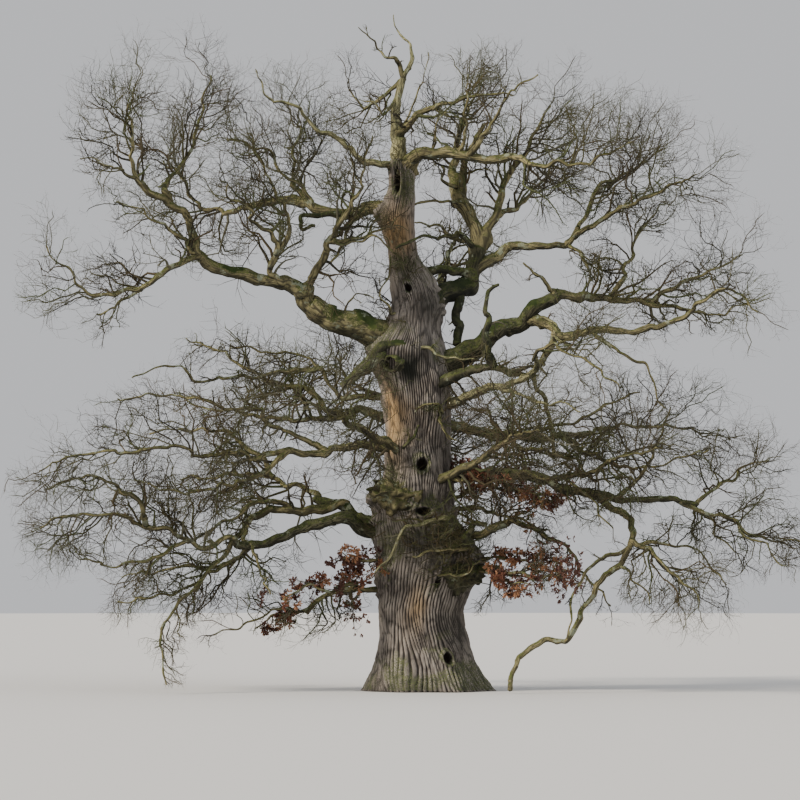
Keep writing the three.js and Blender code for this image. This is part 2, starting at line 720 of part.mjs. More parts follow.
// The solid less what is already there, as one piece without the slivers that cuts leave.
function cutClear(solid, others) {
  for (const other of others) if (touches(solid, other)) solid = solid.subtract(other);
  const whole = solidOf(geometryOf(solid).toNonIndexed(), MERGE);
  return whole.decompose().reduce((best, piece) => (piece.volume() > best.volume() ? piece : best));
}

// A crown: its stem, its first and second twigs, and the leaves that it keeps, all in one solid.
function crownSolid(crown) {
  const count = Math.round(crown.length * FIRST_TWIGS_PER_METRE * Math.min(1, crown.reach));
  const taper = (share) => crown.reach * mix(...FIRST_SHARES, share);
  const first = twigsAlong(crown, crown, 1, count, BARE_SHARES.stem, taper);
  const second = first.flatMap((twig) =>
    twigsAlong(crown, twig, 2, SECOND_TWIGS, BARE_SHARES.twig, () => twig.length * SECOND_SHARE),
  );
  const twigs = [...first, ...second];
  const pieces = [tube(crown, sidesOf(crown, STEM_SIDES)), ...twigs.map((twig) => tube(twig, TWIG_SIDES))];
  for (let k = 0; k < crown.leaves && twigs.length; k++) {
    const { middles, seed } = twigs[k % twigs.length];
    const i = Math.max(1, middles.length - 1 - Math.floor(k / twigs.length));
    const root = middles[i].clone().lerp(middles[i - 1], LEAF_BACK);
    const way = middles[i].clone().sub(middles[i - 1]).normalize();
    const tip = root.clone().addScaledVector(way, LEAF.length);
    if (crown.holds(tip, LEAF.width)) pieces.push(leafSolid(root, way, seed + k));
  }
  return wasm.Manifold.union(pieces).asOriginal().simplify(SLIVER);
}

const materials = {
  trunk: new THREE.MeshStandardMaterial({ color: 0x6b5f50, roughness: 0.95, metalness: 0 }),
  bough: new THREE.MeshStandardMaterial({ color: 0x5c5c3c, roughness: 0.9, metalness: 0 }),
  twigs: new THREE.MeshStandardMaterial({ color: 0x4c4530, roughness: 0.9, metalness: 0 }),
  leafy: new THREE.MeshStandardMaterial({ color: 0x6e4326, roughness: 0.8, metalness: 0 }),
};

const tree = new THREE.Group();
tree.name = "bare_oak_tree";

function addPart(name, solid, material) {
  const geometry = geometryOf(solid);
  geometry.computeVertexNormals();
  const mesh = new THREE.Mesh(geometry, material);
  mesh.name = name;
  tree.add(mesh);
}

const hollowed = HOLLOWS.map(hollowSolid).reduce((solid, hole) => solid.subtract(hole), trunkSolid());
addPart("trunk", hollowed, materials.trunk);
const placed = [trunkSolid(GAP)];
for (const limb of Object.values(limbs)) {
  const sides = sidesOf(limb, BOUGH_SIDES);
  addPart(limb.name, cutClear(tube(limb, sides), placed), materials.bough);
  placed.push(tube(limb, sides, GAP));
}
for (const crown of crowns) {
  const finish = crown.leaves ? materials.leafy : materials.twigs;
  addPart(crown.name, cutClear(crownSolid(crown), placed), finish);
}

export default tree;
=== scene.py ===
import math
from collections import namedtuple

import bpy
import numpy as np
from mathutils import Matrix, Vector, noise


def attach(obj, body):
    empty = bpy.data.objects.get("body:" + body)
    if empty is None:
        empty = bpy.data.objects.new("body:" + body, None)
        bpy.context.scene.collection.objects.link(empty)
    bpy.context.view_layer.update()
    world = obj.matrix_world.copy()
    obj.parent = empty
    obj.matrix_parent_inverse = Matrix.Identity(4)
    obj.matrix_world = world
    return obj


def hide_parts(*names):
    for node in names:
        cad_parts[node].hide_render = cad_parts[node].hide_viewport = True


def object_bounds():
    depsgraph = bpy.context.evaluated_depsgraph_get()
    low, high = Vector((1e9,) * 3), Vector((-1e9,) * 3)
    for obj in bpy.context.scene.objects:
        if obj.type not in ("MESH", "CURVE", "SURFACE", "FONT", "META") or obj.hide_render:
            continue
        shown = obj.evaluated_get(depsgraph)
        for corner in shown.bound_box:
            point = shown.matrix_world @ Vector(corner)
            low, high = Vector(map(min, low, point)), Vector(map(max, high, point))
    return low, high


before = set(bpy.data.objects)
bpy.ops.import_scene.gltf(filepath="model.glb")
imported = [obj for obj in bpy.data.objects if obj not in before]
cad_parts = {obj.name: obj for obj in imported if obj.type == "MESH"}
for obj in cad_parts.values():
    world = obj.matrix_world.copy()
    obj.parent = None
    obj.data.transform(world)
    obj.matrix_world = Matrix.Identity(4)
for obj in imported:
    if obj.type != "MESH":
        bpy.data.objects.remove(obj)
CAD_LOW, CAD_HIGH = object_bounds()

# How the trunk stands: height, radius, and how far its middle has moved in x and in y.
TRUNK_RINGS = np.array([
    (0.0, 1.5, 0.0, 0.0),
    (0.3, 1.44, -0.03, 0.0),
    (0.7, 1.32, -0.07, 0.0),
    (1.2, 1.22, -0.14, 0.0),
    (1.7, 1.16, -0.18, 0.02),
    (2.2, 1.14, -0.2, 0.03),
    (2.7, 1.2, -0.14, 0.04),
    (3.2, 1.3, -0.06, 0.05),
    (3.7, 1.3, -0.02, 0.05),
    (4.2, 1.2, -0.12, 0.05),
    (4.7, 1.06, -0.28, 0.05),
    (5.3, 0.97, -0.32, 0.05),
    (6.0, 0.9, -0.3, 0.05),
    (6.8, 0.89, -0.27, 0.06),
    (7.6, 0.89, -0.3, 0.08),
    (8.3, 0.85, -0.36, 0.1),
    (8.9, 0.8, -0.44, 0.1),
    (9.5, 0.7, -0.44, 0.1),
    (10.1, 0.56, -0.38, 0.1),
    (10.8, 0.5, -0.38, 0.1),
    (11.4, 0.45, -0.52, 0.1),
    (12.0, 0.41, -0.7, 0.1),
    (12.6, 0.42, -0.79, 0.08),
    (13.1, 0.45, -0.81, 0.05),
    (13.6, 0.36, -0.73, 0.02),
    (14.2, 0.28, -0.74, 0.0),
    (14.75, 0.24, -0.75, 0.0),
])
TRUNK_TOP = TRUNK_RINGS[-1, 0]

# Roots that buttress the foot: which way they run (degrees, 0 is +X), reach beyond the trunk and half
# width in degrees. All fade out over the same rise.
ROOTS = [
    (-8, 0.42, 24),
    (48, 0.26, 20),
    (100, 0.34, 26),
    (158, 0.3, 22),
    (196, 0.36, 24),
    (242, 0.22, 18),
    (296, 0.26, 22),
]
ROOT_RISE = 0.62

# Shallow flutes: their depth as a share of the radius, how many stand round the trunk, and their twist.
FLUTES = (0.025, 5, 0.8)

# Burrs: which way they face, height, swell, half width in degrees and half height.
BURRS = [
    (-14, 3.45, 0.26, 30, 0.55),
    (-75, 3.75, 0.12, 26, 0.5),
    (190, 3.1, 0.08, 30, 0.6),
    (198, 5.35, 0.42, 22, 0.3),
    (20, 5.0, 0.1, 26, 0.5),
    (70, 6.6, 0.14, 30, 0.6),
    (185, 9.4, 0.2, 40, 0.5),
    (-10, 10.75, 0.14, 36, 0.45),
    (176, 13.3, 0.12, 40, 0.3),
]

# Hollows: which way they face, height, half width, half height, depth, and how mossy their rim is.
HOLLOWS = [
    (-82, 6.25, 0.15, 0.17, 0.3, 1.0),
    (-80, 4.95, 0.2, 0.1, 0.22, 0.2),
    (-100, 11.15, 0.08, 0.12, 0.16, 0.1),
    (-110, 14.15, 0.09, 0.36, 0.2, 0.5),
    (-62, 0.92, 0.12, 0.15, 0.22, 0.7),
]

# Limbs. Each has a name, the limb it leaves and where (a height on the trunk, or the share of the
# limb's length), the radius at its root and at its tip, how far back its tip lies (y), and its
# route as x and z, with y where it is not an even share of the way back.
BOUGHS = [
    ("left_great_bough", "trunk", 9.5, (0.42, 0.24), -0.9,
     [(-1.6, 9.9), (-2.45, 10.2), (-3.1, 10.55), (-3.35, 11.2)]),
    ("left_great_arm", "left_great_bough", 1, (0.21, 0.14), -1.5,
     [(-4.1, 11.25), (-4.8, 11.4), (-5.85, 11.65), (-6.3, 12.0)]),
    ("left_outer_riser", "left_great_arm", 1, (0.135, 0.095), -1.9,
     [(-6.4, 12.55), (-6.6, 12.95), (-6.95, 13.35), (-7.2, 13.8)]),
    ("left_high_limb", "trunk", 13.4, (0.21, 0.09), 2.0,
     [(-1.4, 13.45), (-2.35, 13.35), (-3.75, 13.7), (-5.15, 13.55)]),
    ("dead_left_limb", "trunk", 14.55, (0.095, 0.016), -0.9,
     [(-1.7, 14.8), (-2.8, 15.35), (-3.9, 16.25), (-4.55, 16.5), (-4.8, 17.15)]),
    ("top_stem", "trunk", 14.5, (0.2, 0.015), 0.5,
     [(-0.85, 15.4), (-0.7, 16.9), (-0.4, 17.6), (-0.5, 18.0), (-0.85, 18.4), (-0.95, 18.85)]),
    ("right_high_limb", "trunk", 14.4, (0.2, 0.1), -1.4,
     [(-0.35, 14.85), (0.2, 14.9), (1.35, 14.7), (2.3, 14.7)]),
    ("right_fork_bough", "trunk", 10.7, (0.3, 0.22), 0.6,
     [(0.35, 11.0), (0.9, 11.3), (1.3, 11.65), (1.4, 12.35)]),
    ("right_fork_stem", "right_fork_bough", 1, (0.23, 0.165), 1.5,
     [(1.3, 12.9), (1.05, 13.45), (0.85, 13.95), (0.75, 14.5)]),
    ("right_long_arm", "right_fork_bough", 0.8, (0.14, 0.08), 0.7,
     [(2.2, 12.3), (2.65, 12.45), (3.55, 12.3), (4.2, 12.9)]),
    ("right_great_bough", "trunk", 8.7, (0.33, 0.16), -0.6,
     [(0.75, 9.2), (2.1, 10.1), (2.7, 10.35), (3.65, 10.95)]),
    ("right_lower_arm", "right_great_bough", 0.72, (0.14, 0.06), -2.5,
     [(3.25, 10.05), (3.75, 9.8), (4.9, 9.95), (6.2, 10.0), (7.3, 10.45)]),
    ("right_pale_limb", "trunk", 7.6, (0.14, 0.06), -2.8,
     [(0.9, 8.1), (1.5, 8.35), (2.5, 8.45), (2.85, 8.8), (2.9, 9.15)]),
    ("right_low_bough", "trunk", 7.2, (0.15, 0.07), 2.4,
     [(1.15, 7.3), (2.85, 7.05), (4.5, 7.2)]),
    ("right_sweeping_bough", "trunk", 5.6, (0.19, 0.07), -0.9,
     [(1.0, 6.0), (2.85, 5.9), (3.8, 5.5), (5.6, 5.35), (7.4, 5.15)]),
    ("ground_limb", "right_sweeping_bough", 0.6, (0.09, 0.08), -1.9,
     [(5.2, 5.0), (5.5, 4.6), (5.5, 4.0)]),
    ("ground_foot", "ground_limb", 1, (0.078, 0.07), -2.6,
     [(5.05, 3.3), (4.2, 2.3), (3.85, 1.5), (3.2, 1.4), (2.6, 1.05), (2.3, 0.55), (2.2, 0.1)]),
    ("left_low_bough", "trunk", 4.2, (0.25, 0.12), 0.4,
     [(-1.65, 4.65), (-2.1, 4.95), (-3.2, 5.3)]),
    ("left_sweeping_bough", "trunk", 4.1, (0.19, 0.1), -1.4,
     [(-1.6, 4.5), (-2.4, 4.75), (-3.55, 4.45), (-4.9, 4.0), (-5.3, 4.2)]),
    ("left_middle_bough", "trunk", 6.7, (0.14, 0.07), -2.3,
     [(-1.45, 6.8), (-3.0, 6.6), (-4.8, 6.5)]),
    ("left_stub_limb", "trunk", 9.0, (0.24, 0.1), -1.7,
     [(-0.9, 9.3), (-1.35, 9.25), (-1.8, 8.9), (-2.35, 8.4)]),
]

# A crown also has the reach of its twigs round its stem, how strongly they lift or weep, and whether
# they keep leaves.
CROWNS = [
    ("left_outer_crown", "left_outer_riser", 1, (0.09, 0.02), -0.2,
     [(-6.9, 14.35), (-6.35, 15.6), (-6.1, 17.1)], 1.9, 0.2),
    ("left_outer_side", "left_outer_riser", 0.72, (0.08, 0.02), -3.4,
     [(-8.05, 14.15), (-8.0, 14.85), (-8.2, 15.6), (-8.05, 16.4)], 1.9, 0.2),
    ("left_drooping_crown", "left_great_arm", 0.9, (0.1, 0.02), -3.2,
     [(-6.9, 11.75), (-7.95, 11.0), (-9.45, 11.05), (-10.35, 12.2)], 1.7, 0.2),
    ("left_inner_crown", "left_great_bough", 1, (0.13, 0.02), -3.0,
     [(-2.8, 12.15), (-2.3, 12.9), (-1.9, 13.85), (-1.5, 15.2)], 1.7, 0.15),
    ("left_arch_crown", "left_great_arm", 0.2, (0.1, 0.02), -2.9,
     [(-4.35, 11.8), (-3.85, 12.7), (-4.35, 13.9), (-4.95, 15.2)], 1.9, 0.15),
    ("left_high_crown", "left_high_limb", 1, (0.085, 0.02), 3.9,
     [(-6.2, 13.45), (-6.9, 14.4), (-7.45, 15.2)], 2.0, 0.2),
    ("left_upright_crown", "left_high_limb", 0.7, (0.07, 0.02), 2.8,
     [(-3.9, 14.5), (-3.7, 15.6), (-3.6, 16.4)], 1.9, 0.25),
    ("top_fork", "top_stem", 0.37, (0.06, 0.012), -0.4,
     [(-0.83, 17.44), (-1.0, 17.69), (-1.3, 17.8), (-1.65, 18.25), (-1.95, 18.4)], 0.5, 0.3),
    ("top_broom", "top_stem", 0.36, (0.06, 0.02), 0.9,
     [(-1.65, 16.15), (-2.15, 16.85)], 1.3, 0.2),
    ("right_high_crown", "right_high_limb", 1, (0.09, 0.02), -3.2,
     [(3.05, 14.5), (4.2, 14.4), (5.6, 15.0)], 1.9, 0.2),
    ("right_top_crown", "top_stem", 0.16, (0.11, 0.02), -1.0,
     [(-0.3, 15.95), (0.75, 16.35), (2.4, 16.5)], 1.6, 0.3),
    ("right_fork_crown", "right_fork_stem", 1, (0.14, 0.02), 3.0,
     [(0.8, 15.15), (0.95, 15.95), (1.45, 17.2)], 1.8, 0.25),
    ("right_fork_outer", "right_fork_bough", 0.93, (0.14, 0.02), 1.6,
     [(2.05, 13.55), (2.35, 14.55), (3.05, 15.6), (3.5, 16.4)], 1.9, 0.2),
    ("right_long_crown", "right_long_arm", 1, (0.075, 0.02), 3.0,
     [(4.9, 14.1), (5.45, 14.5), (6.7, 15.3)], 2.0, 0.2),
    ("right_outer_crown", "right_long_arm", 0.9, (0.075, 0.02), -1.2,
     [(5.4, 13.4), (6.8, 14.0), (7.4, 14.3)], 1.8, 0.15),
    ("right_mid_crown", "right_great_bough", 1, (0.15, 0.02), 1.1,
     [(4.85, 10.9), (5.9, 10.85), (7.3, 11.4), (8.8, 12.1)], 1.8, 0.15),
    ("right_lower_crown", "right_lower_arm", 1, (0.058, 0.02), -3.8,
     [(7.75, 10.9), (8.3, 10.9), (8.9, 10.4)], 1.6, 0.05),
    ("right_front_crown", "right_pale_limb", 1, (0.058, 0.02), -5.0,
     [(3.3, 9.4), (4.2, 9.0), (5.0, 8.3)], 2.0, 0.0),
    ("right_low_crown", "right_low_bough", 1, (0.065, 0.02), 4.0,
     [(5.35, 7.35), (6.8, 7.4), (8.2, 7.2)], 2.1, 0.05),
    ("right_tip_crown", "right_sweeping_bough", 1, (0.065, 0.02), 0.6,
     [(8.0, 5.6), (8.7, 6.1), (9.5, 6.4)], 1.6, 0.05),
    ("right_tip_weeping", "right_sweeping_bough", 0.93, (0.06, 0.018), -2.0,
     [(8.1, 4.75), (9.2, 4.3), (10.2, 4.15)], 1.6, -0.2),
    ("right_hanging_crown", "ground_limb", 0.9, (0.07, 0.02), -3.4,
     [(6.1, 3.9), (6.7, 3.3), (7.2, 2.5)], 1.6, -0.3),
    ("right_dense_crown", "right_sweeping_bough", 0.5, (0.08, 0.02), -4.2,
     [(4.6, 6.1), (5.4, 6.5), (6.3, 6.6)], 1.9, -0.05),
    ("right_arching_limb", "trunk", 3.9, (0.13, 0.02), -1.3,
     [(1.85, 4.55), (2.6, 4.7), (3.85, 3.8), (5.0, 2.35)], 0.9, -0.1),
    ("right_leafy_crown", "trunk", 3.2, (0.08, 0.016), -2.6,
     [(1.7, 3.3), (2.7, 3.2), (3.7, 3.1)], 1.2, 0.0, True),
    ("right_leafy_back", "trunk", 5.1, (0.08, 0.016), 2.4,
     [(1.4, 5.0), (2.4, 4.8), (3.4, 4.5)], 1.4, 0.0, True),
    ("left_low_crown", "left_low_bough", 1, (0.09, 0.02), 3.4,
     [(-4.4, 6.0), (-5.6, 6.1), (-7.0, 5.9)], 2.0, 0.0),
    ("left_hanging_limb", "left_low_bough", 0.72, (0.1, 0.02), -2.8,
     [(-4.55, 4.95), (-5.5, 3.95), (-6.4, 2.9), (-7.3, 1.7), (-7.1, 0.25)], 1.0, -0.2),
    ("left_sweeping_crown", "left_sweeping_bough", 1, (0.09, 0.02), -2.6,
     [(-6.5, 4.15), (-8.4, 4.75), (-9.6, 4.9), (-10.6, 4.5)], 1.8, -0.1),
    ("left_weeping_crown", "left_sweeping_bough", 0.8, (0.07, 0.02), 1.3,
     [(-5.6, 3.6), (-7.0, 3.4), (-8.6, 3.1)], 1.8, -0.15),
    ("left_middle_crown", "left_middle_bough", 1, (0.065, 0.02), -4.4,
     [(-5.8, 6.5), (-7.4, 6.6), (-9.2, 6.5), (-10.4, 6.1)], 2.0, -0.05),
    ("left_back_crown", "trunk", 7.4, (0.14, 0.02), 4.4,
     [(-1.75, 7.8), (-3.2, 7.6), (-5.0, 7.8), (-7.0, 8.1)], 2.1, 0.05),
    ("left_thin_crown", "trunk", 8.2, (0.1, 0.02), 0.6,
     [(-1.6, 8.1), (-2.7, 8.5), (-3.55, 9.3), (-5.6, 9.5)], 1.8, 0.0),
    ("left_leafy_crown", "trunk", 2.7, (0.09, 0.015), -1.8,
     [(-2.05, 2.85), (-3.1, 2.5), (-4.45, 2.1), (-5.9, 1.55)], 1.2, 0.1, True),
    ("front_left_crown", "trunk", 6.3, (0.13, 0.02), -6.2,
     [(-1.7, 7.1), (-2.8, 7.7), (-3.6, 7.9)], 2.2, 0.05),
    ("front_right_crown", "trunk", 5.6, (0.13, 0.02), -6.0,
     [(1.3, 6.3), (2.2, 6.9), (3.0, 7.1)], 2.2, 0.05),
    ("back_crown", "trunk", 5.5, (0.19, 0.02), 6.6,
     [(0.0, 6.2), (-0.1, 6.9), (-0.2, 7.0)], 2.2, 0.05),
    ("back_high_crown", "trunk", 9.2, (0.2, 0.02), 5.4,
     [(0.3, 10.8), (0.6, 12.2), (1.0, 13.2)], 2.2, 0.2),
]

# Side boughs that the crowns hold beside their stems, in the same columns as the crowns.
SIDE_BOUGHS = [
    ("fork_bridge", "trunk", 11.55, (0.13, 0.1), 0.3,
     [(0.2, 11.62), (0.75, 11.6), (1.35, 11.5)], 0.5, 0.1),
    ("fork_twin", "right_fork_stem", 0.5, (0.13, 0.06), 0.9,
     [(1.0, 13.95), (1.0, 14.5), (1.2, 15.1), (1.6, 15.8)], 0.9, 0.2),
    ("curl_hook", "left_high_limb", 0.42, (0.06, 0.045), 0.3,
     [(-3.3, 13.3, 0.5), (-3.5, 13.2, 0.35), (-3.55, 12.98, 0.3), (-3.4, 12.8, 0.3), (-3.22, 12.92, 0.35)],
     0.25, 0.0),
    ("top_whip", "top_stem", 0.2, (0.035, 0.012), -0.2,
     [(-0.5, 16.0), (-0.15, 17.0), (0.0, 17.7)], 0.35, 0.1),
    ("top_tangle", "top_stem", 0.3, (0.05, 0.02), -0.4,
     [(-0.95, 16.15), (-1.35, 16.2), (-1.8, 16.5)], 0.45, 0.1),
    ("fork_rib_high", "right_fork_stem", 0.75, (0.06, 0.03), 0.6,
     [(0.75, 14.1), (0.44, 14.2), (0.4, 14.65)], 0.6, 0.2),
    ("fork_rib_middle", "right_fork_stem", 0.5, (0.06, 0.03), 0.3,
     [(0.8, 13.6), (0.4, 13.62), (-0.3, 13.45)], 0.5, 0.1),
    ("fork_rib_low", "right_fork_stem", 0.15, (0.055, 0.025), -0.3,
     [(0.65, 12.6), (0.2, 12.9), (-0.35, 13.0)], 0.5, 0.1),
    ("fork_mossy_arm", "right_fork_bough", 0.9, (0.07, 0.03), -1.0,
     [(1.0, 12.75), (0.45, 12.55), (-0.2, 12.6), (-0.75, 12.25)], 0.6, 0.1),
    ("fork_spread", "right_fork_outer", 0.2, (0.08, 0.02), 3.2,
     [(2.7, 13.7), (3.5, 14.75), (4.2, 15.6)], 1.3, 0.2),
    ("high_shoot_near", "right_high_limb", 0.35, (0.05, 0.015), -0.9,
     [(0.25, 15.2), (0.28, 15.6), (0.5, 16.1)], 0.8, 0.2),
    ("high_shoot_middle", "right_high_limb", 0.62, (0.055, 0.015), -1.6,
     [(0.95, 15.3), (0.95, 16.2), (1.1, 17.0)], 1.0, 0.2),
    ("high_shoot_far", "right_high_limb", 0.7, (0.07, 0.02), -2.6,
     [(1.6, 15.4), (2.2, 16.3), (2.95, 16.8)], 1.3, 0.2),
    ("long_arm_post", "right_long_arm", 0.85, (0.06, 0.03), 0.0,
     [(4.3, 12.2), (4.42, 11.6)], 0.8, 0.0),
    ("great_snag", "right_great_bough", 0.93, (0.075, 0.03), -1.2,
     [(3.5, 11.15), (3.1, 11.36), (2.6, 11.75)], 0.5, 0.1),
    ("pale_spur", "right_pale_limb", 0.5, (0.06, 0.02), -3.4,
     [(2.65, 8.0), (3.35, 7.97), (4.1, 7.7)], 0.8, 0.0),
    ("hanging_post", "right_lower_arm", 0.3, (0.08, 0.05), -0.6,
     [(3.25, 9.3), (2.95, 8.6), (3.2, 8.0), (3.4, 7.2), (3.5, 6.6)], 1.0, -0.1),
    ("mid_riser", "right_mid_crown", 0.3, (0.07, 0.02), 2.2,
     [(5.6, 11.9), (6.0, 12.9), (6.6, 13.6)], 1.3, 0.2),
    ("mid_fall", "right_mid_crown", 0.45, (0.06, 0.02), 0.2,
     [(6.9, 10.7), (7.9, 10.4), (8.9, 10.7)], 1.2, 0.0),
    ("lower_fall", "right_lower_arm", 0.55, (0.05, 0.02), -2.4,
     [(5.4, 9.2), (6.0, 8.6), (6.4, 7.8)], 1.2, -0.1),
    ("pale_hook", "right_lower_arm", 0.12, (0.055, 0.025), -1.6,
     [(3.25, 10.2), (3.5, 9.9), (3.62, 9.65), (4.05, 9.3)], 0.5, 0.0),
    ("dense_fall", "right_sweeping_bough", 0.35, (0.06, 0.02), -2.9,
     [(3.5, 5.9), (4.3, 5.4), (4.9, 4.5)], 1.1, -0.2),
    ("dense_low", "right_low_bough", 0.8, (0.07, 0.02), -1.2,
     [(4.6, 6.7), (5.5, 6.2), (6.5, 6.3), (7.7, 6.7)], 1.3, -0.1),
    ("dense_tangle", "right_low_bough", 0.4, (0.07, 0.02), -2.2,
     [(2.7, 6.7), (3.6, 6.5), (4.6, 5.9), (5.7, 5.8)], 1.3, -0.1),
    ("low_rise", "right_low_bough", 0.6, (0.06, 0.02), 1.0,
     [(3.9, 7.5), (4.9, 7.9), (5.9, 8.3)], 1.3, 0.05),
    ("tip_rise", "right_sweeping_bough", 0.75, (0.06, 0.02), -1.6,
     [(5.9, 6.1), (6.3, 6.9), (6.6, 7.7)], 1.2, 0.05),
    ("arch_side", "left_arch_crown", 0.35, (0.06, 0.02), -3.6,
     [(-4.6, 12.9), (-5.3, 13.2), (-5.6, 13.9)], 1.3, 0.15),
    ("inner_side", "left_inner_crown", 0.3, (0.07, 0.02), -1.6,
     [(-2.1, 12.4), (-1.6, 12.6), (-0.95, 13.0)], 1.0, 0.1),
    ("high_shoot_left", "left_high_limb", 0.6, (0.06, 0.02), 1.0,
     [(-3.9, 14.3), (-4.6, 15.1), (-5.6, 15.5)], 1.3, 0.2),
    ("high_drop_left", "left_high_limb", 0.35, (0.07, 0.03), 0.6,
     [(-2.2, 12.9), (-2.4, 12.3), (-2.8, 11.9)], 1.0, 0.0),
    ("outer_left_arm", "left_outer_side", 0.25, (0.05, 0.015), -4.0,
     [(-8.6, 14.3), (-9.4, 14.4)], 1.0, 0.1),
    ("drooping_rise", "left_great_arm", 0.95, (0.07, 0.02), -2.6,
     [(-6.9, 12.5), (-7.6, 13.1), (-8.5, 13.3)], 1.3, 0.15),
    ("drooping_fall", "left_drooping_crown", 0.35, (0.05, 0.02), -2.2,
     [(-8.3, 10.7), (-9.1, 10.3)], 1.0, 0.0),
    ("low_cross", "left_low_bough", 0.8, (0.08, 0.03), -1.4,
     [(-3.9, 5.1), (-4.95, 5.2), (-5.6, 4.6), (-6.6, 4.15)], 1.3, -0.1),
    ("low_back_arm", "left_low_crown", 0.3, (0.07, 0.02), 2.0,
     [(-5.2, 6.9), (-6.4, 7.3), (-7.8, 7.2)], 1.4, 0.0),
    ("middle_fall", "left_middle_bough", 0.8, (0.07, 0.02), -3.6,
     [(-4.9, 5.9), (-6.2, 5.5), (-7.6, 5.6)], 1.4, -0.05),
    ("middle_rise", "left_middle_bough", 0.6, (0.07, 0.02), -2.6,
     [(-4.1, 7.2), (-5.3, 7.8), (-6.9, 8.1), (-8.6, 8.0)], 1.4, 0.0),
    ("back_rise", "left_back_crown", 0.35, (0.08, 0.02), 3.0,
     [(-4.3, 8.6), (-5.6, 9.3), (-6.8, 9.9)], 1.4, 0.05),
    ("thin_fall", "left_thin_crown", 0.6, (0.06, 0.02), -1.2,
     [(-4.4, 8.8), (-5.6, 8.6), (-7.0, 8.9), (-8.2, 8.6)], 1.4, 0.0),
    ("weeping_low", "left_weeping_crown", 0.3, (0.05, 0.02), 0.0,
     [(-6.6, 2.9), (-7.6, 2.6), (-8.6, 2.4)], 1.2, -0.15),
    ("hanging_inner", "left_hanging_limb", 0.3, (0.05, 0.02), -2.9,
     [(-4.9, 3.9), (-4.6, 3.2), (-4.4, 2.6)], 1.0, -0.2),
    ("sweep_rise", "left_sweeping_crown", 0.4, (0.07, 0.02), -3.8,
     [(-8.2, 5.4), (-9.2, 5.9), (-10.2, 5.6)], 1.4, 0.0),
    ("sweep_fall", "left_sweeping_crown", 0.25, (0.06, 0.02), -3.4,
     [(-7.3, 3.8), (-8.4, 3.5), (-9.4, 3.7)], 1.3, -0.1),
    ("under_limb", "trunk", 8.4, (0.16, 0.07), -1.7,
     [(0.5, 8.55, -0.7), (1.1, 8.75, -1.2), (1.75, 8.85, -1.4), (2.3, 8.75, -1.6), (2.8, 8.65, -1.7)],
     0.8, 0.0),
    ("under_post", "under_limb", 0.62, (0.11, 0.05), -1.6,
     [(1.62, 9.4), (1.6, 10.1), (1.58, 10.75), (1.95, 11.15)], 0.6, 0.1),
    ("neck_post", "right_fork_bough", 0.5, (0.14, 0.12), 0.0,
     [(0.84, 10.7), (0.88, 10.3), (0.8, 9.6)], 0.4, 0.0),
    ("tip_fall_near", "right_sweeping_bough", 0.95, (0.045, 0.015), -1.0,
     [(7.6, 4.9), (8.3, 4.1), (8.6, 3.4)], 1.0, -0.2),
    ("tip_fall_far", "right_tip_weeping", 0.3, (0.045, 0.015), -2.6,
     [(8.6, 4.5), (9.2, 3.9), (9.8, 3.5)], 1.0, -0.2),
    ("hanging_reach", "ground_limb", 0.95, (0.055, 0.02), -2.4,
     [(6.0, 4.1), (7.1, 3.9), (8.1, 3.0)], 1.1, -0.2),
    ("hanging_drop", "ground_foot", 0.1, (0.04, 0.015), -2.6,
     [(5.5, 3.4), (5.8, 2.9), (6.0, 2.4)], 0.8, -0.25),
    ("foot_twin", "ground_limb", 0.97, (0.045, 0.03), -2.4,
     [(4.6, 3.5), (4.0, 2.75), (3.85, 2.0), (3.83, 1.55)], 0.4, 0.0),
    ("flank_climber", "trunk", 10.4, (0.035, 0.02), -0.4,
     [(-0.95, 10.5, -0.55), (-1.15, 11.0, -0.6), (-1.12, 11.6, -0.5), (-1.1, 12.0, -0.4)], 0.4, 0.1),
    ("flank_reach", "left_inner_crown", 0.35, (0.045, 0.02), -1.8,
     [(-2.45, 12.3), (-1.9, 12.4), (-1.5, 12.35), (-1.1, 12.0)], 0.5, 0.0),
    ("flank_low", "left_great_bough", 0.45, (0.035, 0.015), -1.0,
     [(-2.3, 10.6), (-2.0, 10.85), (-1.4, 10.95)], 0.4, 0.0),
    ("front_droop", "trunk", 4.8, (0.085, 0.03), -1.5,
     [(0.5, 4.83, -0.95), (0.1, 4.72, -1.3), (-0.4, 4.56, -1.42), (-0.8, 4.2, -1.5),
      (-1.15, 3.64, -1.5), (-1.5, 3.28, -1.45)], 0.5, 0.0),
    ("front_arm", "trunk", 3.9, (0.075, 0.03), -1.5,
     [(1.1, 3.9, -0.95), (0.65, 3.9, -1.42), (0.0, 3.83, -1.55), (-0.4, 3.7, -1.5)], 0.5, 0.0),
    ("front_mossy_stub", "trunk", 3.9, (0.16, 0.07), -1.6,
     [(0.72, 3.98, -1.0), (1.0, 4.35, -1.25), (1.2, 4.6, -1.4), (1.6, 4.66, -1.6)], 0.6, 0.0),
    ("front_curl", "trunk", 3.1, (0.06, 0.025), -1.5,
     [(0.2, 3.15, -1.2), (0.5, 3.2, -1.5), (1.0, 3.3, -1.6), (1.45, 3.7, -1.5)], 0.5, 0.0),
    ("eye_arch", "trunk", 9.3, (0.2, 0.12), -1.1,
     [(-0.42, 9.4, -0.6), (-0.83, 9.56, -0.76), (-1.2, 9.54, -0.82), (-1.46, 9.34, -0.85),
      (-1.7, 9.06, -0.9), (-2.0, 8.75, -1.2)], 0.5, 0.0),
    ("eye_spray", "trunk", 9.3, (0.065, 0.025), -1.3,
     [(-0.4, 9.36, -0.72), (0.2, 9.3, -1.0), (0.77, 9.22, -1.15), (1.3, 9.05, -1.3)], 0.5, 0.0),
    ("pale_root_arm", "trunk", 7.6, (0.06, 0.02), -1.0,
